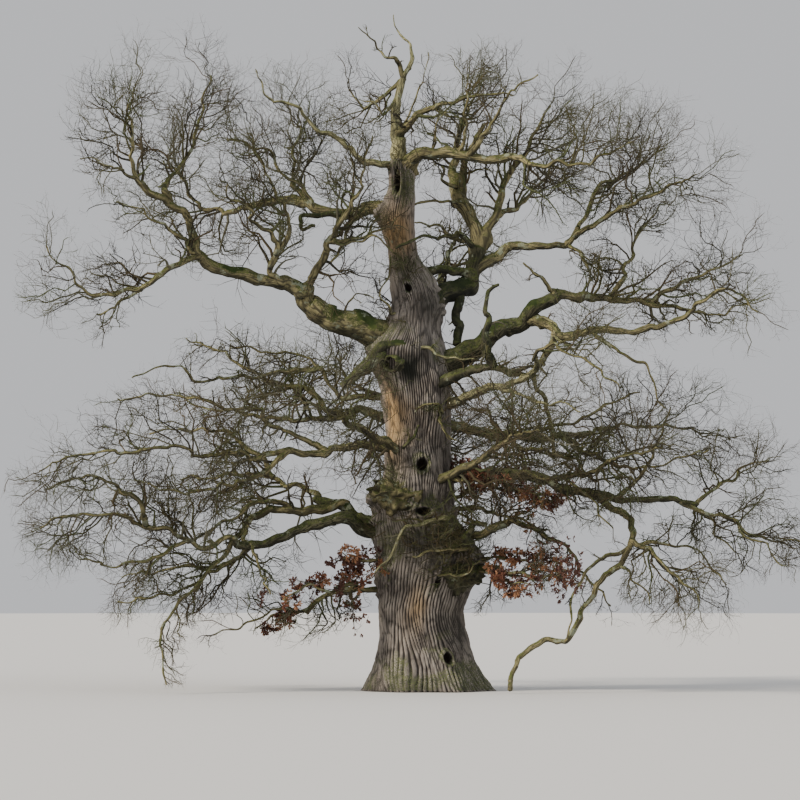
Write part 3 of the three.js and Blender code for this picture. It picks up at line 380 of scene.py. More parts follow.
     [(0.42, 7.68, -0.72), (0.1, 7.85, -1.0), (-0.45, 7.72, -1.08)], 0.4, 0.0),
    ("pale_root_drop", "trunk", 7.5, (0.045, 0.02), -1.1,
     [(0.4, 7.55, -0.75), (0.5, 7.25, -1.0), (0.85, 6.95, -1.1)], 0.4, 0.0),
    ("middle_curl", "trunk", 6.6, (0.08, 0.03), -1.0,
     [(-0.75, 6.62, -0.72), (-0.52, 6.85, -1.0), (-0.35, 7.3, -1.02)], 0.4, 0.0),
    ("leafy_upper", "trunk", 3.6, (0.06, 0.02), -1.5,
     [(-1.3, 3.6), (-1.9, 3.7), (-2.6, 3.55)], 0.34, 0.0, True),
    ("leafy_middle", "left_leafy_crown", 0.25, (0.07, 0.02), -2.4,
     [(-2.1, 2.95), (-2.7, 2.8), (-3.4, 2.85), (-4.0, 2.6)], 0.34, 0.1, True),
    ("leafy_lower", "left_leafy_crown", 0.35, (0.05, 0.02), -1.2,
     [(-3.2, 2.45), (-4.0, 2.1), (-4.8, 1.7)], 0.34, 0.1, True),
    ("leafy_band_high", "right_leafy_back", 0.1, (0.06, 0.02), 0.6,
     [(1.2, 5.5), (2.2, 5.65), (3.2, 5.4), (3.8, 5.5)], 0.34, 0.0, True),
    ("leafy_band_near", "trunk", 5.7, (0.05, 0.02), -1.2,
     [(0.95, 5.85, -0.6), (1.6, 5.75, -0.9), (2.5, 5.6, -1.1), (3.3, 5.3, -1.2)], 0.34, 0.0, True),
    ("leafy_band_low", "right_leafy_crown", 0.1, (0.06, 0.02), -1.6,
     [(1.6, 3.65), (2.5, 3.55), (3.3, 3.75)], 0.34, 0.0, True),
    ("leafy_band_front", "right_leafy_crown", 0.2, (0.05, 0.02), -3.0,
     [(1.9, 3.2), (2.3, 3.05), (2.8, 3.0)], 0.34, 0.0, True),
]

# Shoots on the trunk's own bark: which way they face, height, half width in degrees, half height,
# how many there are and how long they grow.
SHOOTS = [
    (-45, 3.9, 45, 0.6, 56, 0.9),
    (-95, 4.2, 40, 0.5, 36, 0.8),
    (-60, 3.2, 40, 0.3, 22, 0.7),
    (-150, 4.6, 35, 0.6, 14, 0.9),
    (-125, 5.6, 30, 0.3, 12, 0.6),
    (-55, 7.7, 30, 0.25, 12, 0.7),
    (-150, 6.8, 30, 0.3, 10, 0.7),
    (-150, 9.8, 40, 0.5, 10, 0.8),
    (-60, 11.8, 60, 0.8, 12, 0.8),
    (-90, 15.0, 90, 0.5, 8, 0.7),
    (90, 4.2, 70, 1.2, 18, 1.0),
    (60, 8.0, 60, 1.5, 10, 0.9),
]

# Twigs by rank: how often they turn, how far they wander, their angle, and root radius.
FIRST_TWIGS = {"steps": 5, "wander": 0.5, "angle": 66, "root": 0.048}
SECOND_TWIGS = {"steps": 4, "wander": 0.6, "angle": 60, "root": 0.022}
SHOOT_TWIGS = {"steps": 5, "wander": 0.7, "angle": 60, "root": 0.02}

# How many first twigs a limb bears to the metre, and how many second ones they bear.
FIRST_PER_METRE = 4.2
SECOND_PER_METRE = 5.6
LEAST_SECONDS = 2

# Finer twigs: how many each twig bears, how often they turn, their length as a share of its own,
# their angle, how far they wander, their radius at root and tip, the share of the twig left bare
# and the seed of their dice.
THIRD_TWIGS = (4, 2, 0.6, 56, 0.45, (0.012, 0.006), 0.15, 13)
FOURTH_TWIGS = (1, 1, 0.55, 52, 0.2, (0.0075, 0.004), 0.2, 14)

# How dense the first twigs stand on leafy side boughs and on some other limbs. The rest have 1.
LEAFY_SIDE_DENSER = 3.8
DENSER = {
    "back_high_crown": 0.35,
    "front_left_crown": 0.55,
    "left_thin_crown": 0.8,
    "left_back_crown": 0.85,
    "top_tangle": 3,
    "right_top_crown": 0.7,
    "high_shoot_middle": 0.5,
    "high_shoot_far": 0.6,
    "right_tip_weeping": 1.4,
    "right_hanging_crown": 1.4,
    "left_weeping_crown": 1.2,
    "left_sweeping_crown": 1.2,
}

# Length of first twigs as shares of the crown's reach, and of second ones as shares of the twig's
# length, each near the root and near the tip of what bears them. Finer ones under the least length
# are left out.
FIRST_SHARES = (1.5, 0.85)
SECOND_SHARE = 0.6
SECOND_SHARES = (1.2, 0.8)
LEAST_TWIG = 0.07

# How twigs vary: their turn round what bears them (radians), their angle there near its root and
# near its tip (shares of the rule's), its spread (degrees) and their length (shares).
TURN_SPREAD = 0.9
ANGLE_SHARES = (1.15, 0.6)
ANGLE_SPREAD = 20
LENGTH_RANGE = (0.8, 1.15)
SHOOT_RANGE = (0.5, 1.2)
FINE_LENGTH_RANGE = (0.65, 1.3)
FINE_LENGTH_SHARES = (1.25, 0.75)
FINE_ANGLE_RANGE = (0.6, 1.4)
FINE_ANGLE_SHARES = (1.15, 0.7)

# How deep shoots sit in the bark (a share of its radius), and how they lean out of it.
SHOOT_ROOT = 0.97
SHOOT_SPREAD = 1.6
SHOOT_LEAN = (0.5, 0.5, 0.35)

# Points along first and second twigs, their radius at their tip, and radii at the root as shares of
# the wood that bears them.
FIRST_POINTS = 9
SECOND_POINTS = 6
FIRST_TIP = 0.011
SECOND_TIP = 0.008
ROOT_SHARE = 0.6
FINE_ROOT_SHARE = 0.75
THINNEST_SHOOT = 0.012

# Share of a limb's or twig's length near its root that bears no twigs.
BARE_SHARE = 0.12
TWIG_BARE_SHARE = 0.22

# How clear twigs stay of other crowns' space (a share of it), of limbs and the ground (metres), and
# of the trunk (a share of its radius).
SPACE_MARGIN = -0.12
FINE_SPACE = 1.08
LIMB_CLEARANCE = 0.09
GROUND_CLEARANCE = 0.16
TRUNK_CLEARANCE = 1.25
SHOOT_CLEARANCE = 1.06

# Share of the box's side by which a finer twig may pass it.
BOX_MARGIN = 0.006

# The golden section deals twigs out evenly, along what bears them and round it.
GOLDEN_SHARE = (math.sqrt(5) - 1) / 2
GOLDEN_TURN = math.pi * (3 - math.sqrt(5))

# Limbs turn at knots this far apart, by a share of their radius and a little more, swell in a collar
# at the root, and taper by a power of the share of their length, as twigs do.
KNOT_STEP = 0.75
KNOT_SHARE = 0.32
LEAST_KINK = 0.04
COLLAR_SWELL = 0.35
COLLAR_FADE = 4
LIMB_TAPER = 0.85
TWIG_TAPER = 0.8

# The trunk's skin, and how deep its bark is.
TRUNK_COLUMNS = 352
TRUNK_ROWS = 276
BARK_DEPTH = 0.055

# Ridges of bark: how many stand round the trunk where they are coarse and where they are fine, and
# from where to where they rise in a wave from 0 to 1.
RIDGES_ROUND = (76, 106)
RIDGE_RISE = (0.22, 0.85)
# How the ridges wave: by how many ridges, waves to a metre, and stretch.
RIDGE_SWAYS = ((1.1, 1.6, 0.45), (0.45, 5, 0.35))
# How all ridges wander together, by degrees, stretch and waves to a metre, and turn at the foot.
WANDER = (6, 0.35, 1.3)
FOOT_TURN = 7
# How ridges part at hollows: by what share, and how far round and above them in their half sizes.
PARTING = (0.75, 2.6, 3.4)
# Width of the plates that the ridges break into, and their width against their height.
RIDGE_BREAKS = (0.17, 0.3)
# Radius of the cylinder that the bark is laid out on, at the foot and at the top.
BARK_CYLINDER = (0.92, 0.72)

# Places nearer than this are joined when a skin is rolled up.
SEAM_GAP = 0.0004

UP = np.array((0.0, 0.0, 1.0))
LEVEL = np.array((1.0, 0.0, 0.0))

# The dice: each throw is the last one times a factor, less whole rounds. Seeds are kept to a range.
DICE_ROUND = 2147483647
DICE_FACTOR = 48271
SEED_RANGE = 1000003


def random_from(seed):
    """A small random number generator, the same for the same seed."""
    state = seed % (DICE_ROUND - 1) + 1

    def draw():
        nonlocal state
        state = state * DICE_FACTOR % DICE_ROUND
        return state / DICE_ROUND

    draw()
    draw()
    return draw


def jolt(draw, less=0.5):
    """A random step along each axis."""
    return np.array([draw() for _ in range(3)]) - less


def seed_of(name):
    seed = 7
    for letter in name:
        seed = (seed * 131 + ord(letter)) % SEED_RANGE
    return seed


def child_seed(seed, k):
    return (seed * 613 + k * 7919 + 101) % SEED_RANGE


def mix(a, b, share):
    return a + (b - a) * share


def smoothstep(low, high, value):
    share = np.clip((value - low) / (high - low), 0, 1)
    return share * share * (3 - 2 * share)


def fading(*distances):
    """1 at a spot's middle and less around it, by distances as shares of its half sizes."""
    return np.exp(-sum(distance**2 for distance in distances))


def unit(vectors):
    return vectors / np.maximum(np.linalg.norm(vectors, axis=-1, keepdims=True), 1e-9)


def on_curve(points, t):
    """Points on the smooth curve through the given points, t from 0 to their number less one."""
    t = np.atleast_1d(np.asarray(t, float))
    last = len(points) - 1
    i = np.minimum(np.floor(t).astype(int), last - 1)
    s = (t - i)[:, None]
    a, b, c, d = (points[np.clip(i + k, 0, last)] for k in (-1, 0, 1, 2))
    return (
        a * (-0.5 * s + s**2 - 0.5 * s**3)
        + b * (1 - 2.5 * s**2 + 1.5 * s**3)
        + c * (0.5 * s + 2 * s**2 - 1.5 * s**3)
        + d * (-0.5 * s**2 + 0.5 * s**3)
    )


def trunk_at(heights):
    """The trunk's radius and middle at some heights."""
    heights = np.asarray(heights, float)
    radius, x, y = (np.interp(heights, TRUNK_RINGS[:, 0], TRUNK_RINGS[:, k]) for k in (1, 2, 3))
    return radius, np.stack([x, y, heights], -1)


def facing(angle, towards):
    """Degrees between directions round the trunk."""
    return np.abs((angle - towards + 540) % 360 - 180)


def trunk_radius(angle, z):
    """The trunk's radius with roots, burrs and shallow flutes, in a direction at a height."""
    radius, _ = trunk_at(z)
    for towards, reach, width in ROOTS:
        radius = radius + reach * np.exp(-((facing(angle, towards) / width) ** 2) - z / ROOT_RISE)
    for towards, height, swell, width, tall in BURRS:
        radius = radius + swell * fading(facing(angle, towards) / width, (z - height) / tall)
    depth, count, twist = FLUTES
    return radius * (1 + depth * np.sin(np.radians(angle) * count + z * twist))


def soft_noise(points, scale):
    flat = points.reshape(-1, 3) * scale
    return np.array([noise.noise(Vector(p)) for p in flat]).reshape(points.shape[:-1])


# Crooks bend all limbs and twigs together, as waves of a few lengths that run in many directions: the
# waves' length, their size and how many there are. They set in between two distances from the trunk's
# middle, in its radius, and between two heights.
CROOKS = [(1.3, 0.09, 7), (0.62, 0.055, 9), (0.34, 0.032, 9)]
CROOKS_FROM_TRUNK = (0.6, 1.6)
CROOKS_FROM_GROUND = (0.1, 1.2)
crook_dice = np.random.default_rng(5)
crook_waves = np.concatenate([
    unit(crook_dice.normal(size=(count, 3))) * 2 * math.pi / length for length, _, count in CROOKS
])
crook_pushes = np.concatenate([
    unit(crook_dice.normal(size=(count, 3))) * size * math.sqrt(2 / count) for _, size, count in CROOKS
])
crook_starts = crook_dice.uniform(0, 2 * math.pi, len(crook_waves))


def crook(points, share=1.0):
    """Points of limbs moved by the crooks, which fade out at the trunk and at the ground."""
    push = np.sin(points @ crook_waves.T + crook_starts) @ crook_pushes
    heights = np.clip(points[..., 2], 0, TRUNK_TOP)
    thick, middle = trunk_at(heights)
    away = np.linalg.norm((points - middle)[..., :2], axis=-1) + np.maximum(0, points[..., 2] - heights)
    fade = smoothstep(*CROOKS_FROM_TRUNK, away / thick) * smoothstep(*CROOKS_FROM_GROUND, points[..., 2])
    return points + push * (fade * share)[..., None]


class Limb:
    """A limb's middles and radii, from its root inside its parent to its tip."""

    def __init__(self, name, parent, at, radii, depth, route, reach=0, lift=0, leafy=False):
        self.name = name
        self.seed = seed_of(name)
        self.reach = reach
        self.lift = lift
        self.leafy = leafy
        self.on_trunk = parent is None
        start = parent.place(at) if parent else trunk_at(at)[1]
        guide = [start]
        for i, (x, z, *back) in enumerate(route, 1):
            y = back[0] if back else mix(start[1], depth, i / len(route))
            guide.append(np.array((x, y, z)))
        guide = np.array(guide)
        self.length = np.linalg.norm(np.diff(guide, axis=0), axis=1).sum()
        count = max(4, math.floor(self.length / KNOT_STEP + 0.5))
        draw = random_from(self.seed)
        self.middles = []
        self.widths = []
        for i in range(count + 1):
            share = i / count
            radius = mix(radii[0], radii[1], share**LIMB_TAPER)
            collar = 0 if parent and at == 1 else COLLAR_SWELL * math.exp(-COLLAR_FADE * share)
            kink = jolt(draw)
            middle = on_curve(guide, share * (len(guide) - 1))[0]
            if 1 < i < count:
                middle = middle + kink * (2 * KNOT_SHARE * radius + LEAST_KINK)
            self.middles.append(middle)
            self.widths.append(radius * (1 + collar))
        self.middles = np.array(self.middles)
        self.widths = np.array(self.widths)

    def place(self, share):
        back = 1 - self.widths[-1] / self.length if share == 1 else share
        return on_curve(self.middles, back * (len(self.middles) - 1))[0]


limbs = {}
for name, parent, *rest in [*BOUGHS, *CROWNS, *SIDE_BOUGHS]:
    limbs[name] = Limb(name, limbs.get(parent), *rest)
boughs = [limbs[row[0]] for row in BOUGHS]
crowns = [limbs[row[0]] for row in CROWNS]
sides = [limbs[row[0]] for row in SIDE_BOUGHS]
everything = list(limbs.values())
for index, limb in enumerate(everything):
    limb.index = index
crown_range = slice(len(boughs), len(boughs) + len(crowns))

# All limbs as one list of straight stretches, so that a point is measured against them in one go.
stretch_low = np.concatenate([limb.middles[:-1] for limb in everything])
stretch_run = np.concatenate([np.diff(limb.middles, axis=0) for limb in everything])
stretch_thin = np.concatenate([limb.widths[:-1] for limb in everything])
stretch_swell = np.concatenate([np.diff(limb.widths) for limb in everything])
stretch_owner = np.concatenate([np.full(len(limb.middles) - 1, limb.index) for limb in everything])
first_stretch = np.unique(stretch_owner, return_index=True)[1]
reaches = np.array([crown.reach for crown in crowns])
lifts = np.array([limb.lift for limb in everything])
loose = np.array([limb.on_trunk and limb not in crowns for limb in everything])
box_low = np.array(CAD_LOW)
box_high = np.array(CAD_HIGH)
box_spare = (box_high - box_low) * BOX_MARGIN


def in_box(points):
    return ((points > box_low - box_spare) & (points < box_high + box_spare)).all(-1)


def nearest_on_limbs(p):
    """For each limb, how far a point lies from its middle line, and the limb's radius there."""
    run = stretch_run
    share = np.clip(((p - stretch_low) * run).sum(1) / (run * run).sum(1), 0, 1)
    distance = np.linalg.norm(stretch_low + run * share[:, None] - p, axis=1)
    nearest = np.minimum.reduceat(distance, first_stretch)
    best = np.flatnonzero(distance == nearest[stretch_owner])
    best = best[np.unique(stretch_owner[best], return_index=True)[1]]
    return nearest, stretch_thin[best] + stretch_swell[best] * share[best]


def holds(limb, p, thickness):
    """A crown holds a point within its reach, nearer to it than to others, and clear of all limbs."""
    if p[2] < GROUND_CLEARANCE or not in_box(p):
        return False
    thick, middle = trunk_at(min(p[2], TRUNK_TOP))
    from_trunk = np.linalg.norm(p - middle)
    if loose[limb.index]:
        return from_trunk > thick * SHOOT_CLEARANCE
    distance, radius = nearest_on_limbs(p)
    shares = distance[crown_range] / reaches
    own_share = distance[limb.index] / limb.reach
    if own_share > 1 or shares.min() > 1 or from_trunk < thick * TRUNK_CLEARANCE + LIMB_CLEARANCE:
        return False
    clear = distance > radius + thickness + LIMB_CLEARANCE
    clear[limb.index] = True
    return bool(clear.all() and (limb in sides or own_share + SPACE_MARGIN <= shares.min()))


def sideways(way, turn, angle):
    """The directions that stand off limbs' own at an angle, turned round them."""
    axis = np.where(np.abs(way[..., 2:]) > 0.95, LEVEL, UP)
    side = unit(np.cross(way, axis))
    over = np.cross(side, way)
    out = side * np.cos(turn)[..., None] + over * np.sin(turn)[..., None]
    return way * np.cos(angle)[..., None] + out * np.sin(angle)[..., None]


# One twig by the rule, with the limb it grows on and the spray it belongs to, and many of one rank as
# arrays.
Twig = namedtuple("Twig", "middles widths length seed limb spray")
Sprays = namedtuple("Sprays", "middles widths limb spray")


def pick(sprays, chosen):
    return Sprays(*(values[chosen] for values in sprays))


def grow_twig(limb, rule, root, heading, length, thickness, seed, spray):
    """It wanders from its root, lifts or weeps, and stops where its crown's space ends."""
    draw = random_from(seed)
    middles = [root]
    way = heading
    for _ in range(rule["steps"]):
        way = unit(way + jolt(draw) * 2 * rule["wander"] + UP * limb.lift * 2 / rule["steps"])
        ahead = middles[-1] + way * length / rule["steps"]
        if not holds(limb, ahead, thickness):
            break
        middles.append(ahead)
    made = len(middles) - 1
    if not made:
        return None
    widths = np.array([thickness * (1 - i / made) for i in range(made + 1)])
    return Twig(np.array(middles), widths, length * made / rule["steps"], seed, limb, spray or seed)


def twigs_along(limb, parent, rule, count, bare, length_at, spray=None):
    """The twigs along a limb or twig, dealt out evenly however many there are."""
    twigs = []
    last = len(parent.middles) - 1
    for k in range(count):
        seed = child_seed(parent.seed, k)
        draw = random_from(seed + 5)
        share = bare + (1 - bare) * ((0.5 + k * GOLDEN_SHARE) % 1)
        turn = k * GOLDEN_TURN + draw() * TURN_SPREAD + parent.seed
        i = min(last - 1, math.floor(share * last))
        way = unit(parent.middles[i + 1] - parent.middles[i])
        root = on_curve(parent.middles, share * last)[0]
        angle = math.radians(rule["angle"] * mix(*ANGLE_SHARES, share) + (draw() - 0.5) * ANGLE_SPREAD)
        length = length_at(share) * mix(*LENGTH_RANGE, draw())
        width = mix(parent.widths[i], parent.widths[i + 1], share * last - i)
        thickness = min(rule["root"], width * ROOT_SHARE)
        heading = sideways(way, np.array(turn), np.array(angle))
        twig = grow_twig(limb, rule, root, heading, length, thickness, seed, spray)
        if twig:
            twigs.append(twig)
    return twigs


def shoots_on_trunk():
    """Long thin shoots that break from the bark and turn up."""
    host = limbs["front_droop"]
    twigs = []
    for row, (towards, height, wide, tall, count, length) in enumerate(SHOOTS):
        for k in range(count):
            seed = child_seed(row + 71, k)
            draw = random_from(seed)
            angle = towards + (draw() + draw() - 1) * wide
            z = min(height + (draw() + draw() - 1) * tall, TRUNK_TOP - 0.05)
            turn = math.radians(angle)
            out = np.array((math.cos(turn), math.sin(turn), 0))
            root = trunk_at(z)[1] + out * float(trunk_radius(np.array(angle), np.array(z))) * SHOOT_ROOT
            heading = unit(out + jolt(draw, SHOOT_LEAN) * SHOOT_SPREAD)
            thickness = mix(THINNEST_SHOOT, SHOOT_TWIGS["root"], draw())
            grown = length * mix(*SHOOT_RANGE, draw())
            twig = grow_twig(host, SHOOT_TWIGS, root, heading, grown, thickness, seed, None)
            if twig:
                twigs.append(twig)
    return twigs


def bend_twigs(twigs, points, tip):
    """Twigs of few turns drawn out to more points, with crooks and a fuller taper."""
    middles = []
    widths = []
    for twig in twigs:
        t = np.linspace(0, len(twig.middles) - 1, points)
        middles.append(on_curve(twig.middles, t))
        taper = np.linspace(0, 1, points) ** TWIG_TAPER
        widths.append(mix(twig.widths[0], min(tip, twig.widths[0]), taper))
    limb = np.array([twig.limb.index for twig in twigs])
    spray = np.array([twig.spray for twig in twigs])
    return Sprays(crook(np.array(middles)), np.array(widths), limb, spray)


def free_of_all(points, limb):
    """Which points of finer twigs keep to the crowns' reach, the tree's box and clear of the trunk."""
    share = np.full(len(points), np.inf)
    for crown in crowns:
        for low, run in zip(crown.middles[:-1], np.diff(crown.middles, axis=0)):
            along = np.clip(((points - low) @ run) / (run @ run), 0, 1)
            away = np.linalg.norm(low + along[:, None] * run - points, axis=1)
            share = np.minimum(share, away / crown.reach)
    thick, middle = trunk_at(np.minimum(points[:, 2], TRUNK_TOP))
    off_trunk = np.linalg.norm(points - middle, axis=1) > thick * SHOOT_CLEARANCE
    off_ground = points[:, 2] > GROUND_CLEARANCE / 2
    return in_box(points) & off_trunk & off_ground & ((share < FINE_SPACE) | loose[limb])


def sprout(parents, per_parent, steps, length_share, angle, wander, thick, bare, seed):
    """Finer twigs on every twig, by the same rule, all at once."""
    dice = np.random.default_rng(seed)
    many = len(parents.middles) * per_parent
    owner = np.repeat(np.arange(len(parents.middles)), per_parent)
    k = np.tile(np.arange(per_parent), len(parents.middles))
    share = bare + (1 - bare) * ((0.5 + k * GOLDEN_SHARE + dice.uniform(0, 0.2, many)) % 1)
    last = parents.middles.shape[1] - 1
    i = np.minimum(last - 1, np.floor(share * last).astype(int))
    s = share * last - i
    low = parents.middles[owner, i]
    high = parents.middles[owner, i + 1]
    way = unit(high - low)
    place = low + (high - low) * s[:, None]
    length = np.linalg.norm(parents.middles[:, -1] - parents.middles[:, 0], axis=1)[owner]
    length = length * length_share * dice.uniform(*FINE_LENGTH_RANGE, many) * mix(*FINE_LENGTH_SHARES, share)
    tilt = np.radians(angle * dice.uniform(*FINE_ANGLE_RANGE, many) * mix(*FINE_ANGLE_SHARES, share))
    heading = sideways(way, k * GOLDEN_TURN + dice.uniform(0, 2 * math.pi, many), tilt)
    limb = parents.limb[owner]
    root = np.minimum(thick[0], parents.widths[owner, i] * FINE_ROOT_SHARE)
    middles = [place]
    for _ in range(steps):
        drift = dice.normal(size=(many, 3)) * wander
        heading = unit(heading + drift + UP * (lifts[limb] / steps)[:, None])
        middles.append(middles[-1] + heading * (length / steps)[:, None])
    kept = free_of_all(middles[-1], limb) & (length > LEAST_TWIG)
    widths = [mix(root, np.minimum(root, thick[1]), (j / steps) ** TWIG_TAPER) for j in range(steps + 1)]
    return pick(Sprays(np.stack(middles, 1), np.stack(widths, 1), limb, parents.spray[owner]), kept)


first_twigs = []
second_twigs = []
for limb in [*crowns, *sides]:
    share = DENSER.get(limb.name, LEAFY_SIDE_DENSER if limb.leafy and limb in sides else 1)
    count = math.floor(limb.length * FIRST_PER_METRE * min(1, limb.reach) * share + 0.5)
    first_twigs += twigs_along(limb, limb, FIRST_TWIGS, count, BARE_SHARE,
                               lambda share: limb.reach * mix(*FIRST_SHARES, share))
first_twigs += shoots_on_trunk()
for twig in first_twigs:
    count = max(LEAST_SECONDS, math.floor(twig.length * SECOND_PER_METRE + 0.5))
    second_twigs += twigs_along(twig.limb, twig, SECOND_TWIGS, count, TWIG_BARE_SHARE,
                                lambda share: twig.length * SECOND_SHARE * mix(*SECOND_SHARES, share),
                                twig.spray)

first_sprays = bend_twigs(first_twigs, FIRST_POINTS, FIRST_TIP)
second_sprays = bend_twigs(second_twigs, SECOND_POINTS, SECOND_TIP)
third_sprays = sprout(second_sprays, *THIRD_TWIGS)
fourth_sprays = sprout(third_sprays, *FOURTH_TWIGS)


def new_object(name, mesh):
    made = bpy.data.objects.new(name, mesh)
    bpy.context.scene.collection.objects.link(made)
    return made


def mesh_of_triangles(name, places, triangles, smooth):
    """A mesh from arrays of places and of corners."""
    mesh = bpy.data.meshes.new(name)
    mesh.vertices.add(len(places))
    mesh.vertices.foreach_set("co", places.astype(np.float32).ravel())
    mesh.loops.add(triangles.size)
    mesh.loops.foreach_set("vertex_index", triangles.astype(np.int32).ravel())
    mesh.polygons.add(len(triangles))
    mesh.polygons.foreach_set("loop_start", np.arange(0, triangles.size, 3, dtype=np.int32))
    mesh.polygons.foreach_set("use_smooth", np.full(len(triangles), smooth))
    mesh.update(calc_edges=True)
    return mesh


def copied(one, many, stride):
    """The corners of one small mesh again for each of many like it, with that many places in each."""
    return (np.array(one)[None] + (np.arange(many) * stride)[:, None, None]).reshape(-1, 3)


def twig_tubes(sprays, sides_round):
    """Thin tapering tubes along twigs, each closed at its root and drawn to a point at its tip."""
    middles = sprays.middles
    many, points, _ = middles.shape
    way = np.empty_like(middles)
    way[:, 1:-1] = middles[:, 2:] - middles[:, :-2]
    way[:, 0] = middles[:, 1] - middles[:, 0]
    way[:, -1] = middles[:, -1] - middles[:, -2]
    way = unit(way)
    axis = np.where(np.abs(way[:, :1, 2:]) > 0.9, LEVEL, UP)
    side = unit(np.cross(way, np.broadcast_to(axis, way.shape)))
    over = np.cross(way, side)
    rings = []
    for turn in np.arange(sides_round) * 2 * math.pi / sides_round:
        out = side * math.cos(turn) + over * math.sin(turn)
        rings.append(middles[:, :-1] + out[:, :-1] * sprays.widths[:, :-1, None])
    rings = np.stack(rings, 2).reshape(many, -1, 3)
    places = np.concatenate([rings, middles[:, -1:]], 1)
    one = []
    for row in range(points - 2):
        for column in range(sides_round):
            ahead = (column + 1) % sides_round
            a, b = row * sides_round + column, row * sides_round + ahead
            c, d = b + sides_round, a + sides_round
            one += [(a, b, c), (a, c, d)]
    top = (points - 2) * sides_round
    tip = (points - 1) * sides_round
    one += [(top + column, top + (column + 1) % sides_round, tip) for column in range(sides_round)]
    one += [(0, column + 1, column) for column in range(1, sides_round - 1)]
    return places.reshape(-1, 3), copied(one, many, places.shape[1])


def joined(tubes):
    """Several sets of places and corners as one."""
    places = []
    corners = []
    start = 0
    for some_places, some_corners in tubes:
        places.append(some_places)
        corners.append(some_corners + start)
        start += len(some_places)
    return np.concatenate(places), np.concatenate(corners)


def closed(skin, first, last, **shades):
    """A skin and its shades with one more row at each end, where it draws together to a point."""
    start, end = (np.broadcast_to(point, skin[:1].shape) for point in (first, last))
    skin = np.concatenate([start, skin, end])
    return skin, {name: np.concatenate([shade[:1], shade, shade[-1:]]) for name, shade in shades.items()}


def wrapped_grid(name, places, attributes):
    """A grid rolled up into a closed skin: its rows run round the limb and its ends are poles."""
    rows, columns, _ = places.shape
    bpy.ops.object.select_all(action="DESELECT")
    bpy.ops.mesh.primitive_grid_add(x_subdivisions=columns, y_subdivisions=rows - 1, size=1)
    skin = bpy.context.object
    skin.name = name
    mesh = skin.data
    mesh.name = name
    wrapped = np.concatenate([places, places[:, :1]], 1)
    mesh.vertices.foreach_set("co", wrapped.astype(np.float32).ravel())
    for attribute, values in attributes.items():
        values = np.concatenate([values, values[:, :1]], 1).astype(np.float32)
        mesh.attributes.new(attribute, "FLOAT", "POINT").data.foreach_set("value", values.ravel())
    mesh.update()
    bpy.ops.object.mode_set(mode="EDIT")
    bpy.ops.mesh.select_all(action="SELECT")
    bpy.ops.mesh.remove_doubles(threshold=SEAM_GAP)
    bpy.ops.mesh.normals_make_consistent(inside=False)
    bpy.ops.object.mode_set(mode="OBJECT")
    bpy.ops.object.shade_smooth()
    return skin


def bark_ridges(points, spacing, stretch):
    """How high the bark stands at points of an even cylinder, from 0 in a furrow to 1 on a ridge."""
    flow = soft_noise(points * np.array((1, 1, 0.6)), 0.12 / spacing)
    lattice = points / spacing
    lattice[..., 2] *= stretch
    lattice[..., 0] += flow * 0.5
    lattice[..., 1] -= flow * 0.5
    lattice[..., 2] += 0.5 * soft_noise(lattice * np.array((0.6, 0.6, 0.3)) + 11, 1)
    edge = []
    for p in lattice.reshape(-1, 3):
        distances = noise.voronoi(Vector(p))[0]
        edge.append(distances[1] - distances[0])
    return smoothstep(0.02, 0.32, np.array(edge).reshape(points.shape[:-1]))


# Moss on the trunk's skin: which way it faces, height, half width and half height (metres).
MOSSY = [
    (-92, 6.42, 0.2, 0.16),
    (-66, 5.2, 0.22, 0.35),
    (-148, 6.1, 0.35, 0.6),
    (-160, 9.5, 0.5, 0.3),
    (-25, 0.4, 0.9, 0.4),
    (-110, 0.25, 0.6, 0.25),
    (-60, 7.8, 0.4, 0.12),
    (-140, 3.9, 0.4, 0.6),
    (-115, 11.9, 0.25, 0.3),
    (-65, 14.1, 0.35, 0.6),
    (-130, 5.4, 0.5, 0.35),
    (-45, 4.4, 0.5, 0.4),
    (60, 4.0, 0.6, 1.2),
]

# Painted shade and painted sunlight on it: which way each patch faces, height, half width, half height, and
# how dark its painted shade is, or how pale and warm its painted sunlight if that is above 0.
SHADE_AND_SUN_PATCHES = [
    (-97, 8.85, 0.34, 0.5, -1.2),
    (-125, 4.2, 0.9, 0.7, -0.75),
    (-70, 3.9, 0.9, 0.6, -0.5),
    (-45, 10.7, 0.5, 0.55, -0.8),
    (-75, 9.3, 0.35, 0.5, -0.4),
    (-30, 6.4, 0.45, 1.2, -0.35),
    (-20, 1.6, 0.6, 1.3, -0.5),
    (-68, 1.8, 0.8, 0.9, -0.32),
    (-118, 1.6, 0.35, 0.9, 0.35),
    (-94, 2.3, 0.34, 0.75, 1.15),
    (-138, 7.5, 0.5, 1.3, 1.7),
    (-100, 12.7, 0.5, 0.8, 1.7),
    (-100, 0.0, 3.0, 0.4, -0.5),
]

# Hollows that only the skin shows, in the same columns as the others.
SKIN_HOLLOWS = [
    (-112, 5.1, 0.24, 0.1, 0.2, 0),
    (-75, 3.0, 0.08, 0.12, 0.12, 0),
    (-150, 14.5, 0.05, 0.07, 0.1, 0.3),
]

# How strongly rows gather at a hollow and how far round it, as a share of its half height.
HOLLOW_ROWS = (1.3, 1.6)
# Hollows in the skin, by distance from their middle in their half sizes: where their wall begins and
# ends, where their painted shade does, where their rim stands, how wide it and its moss are, and its height.
HOLLOW_WALL = (1.12, 0.55)
HOLLOW_SHADE = (1.1, 0.8)
RIM_AT = 1.4
RIM_WIDTH = 0.3
RIM_MOSS = 0.5
RIM_HEIGHT = 0.075
# Shoulders under limbs: how high and wide, in the limb's radius, and the weight of height in this.
SHOULDER = (0.55, 1.7, 0.8)
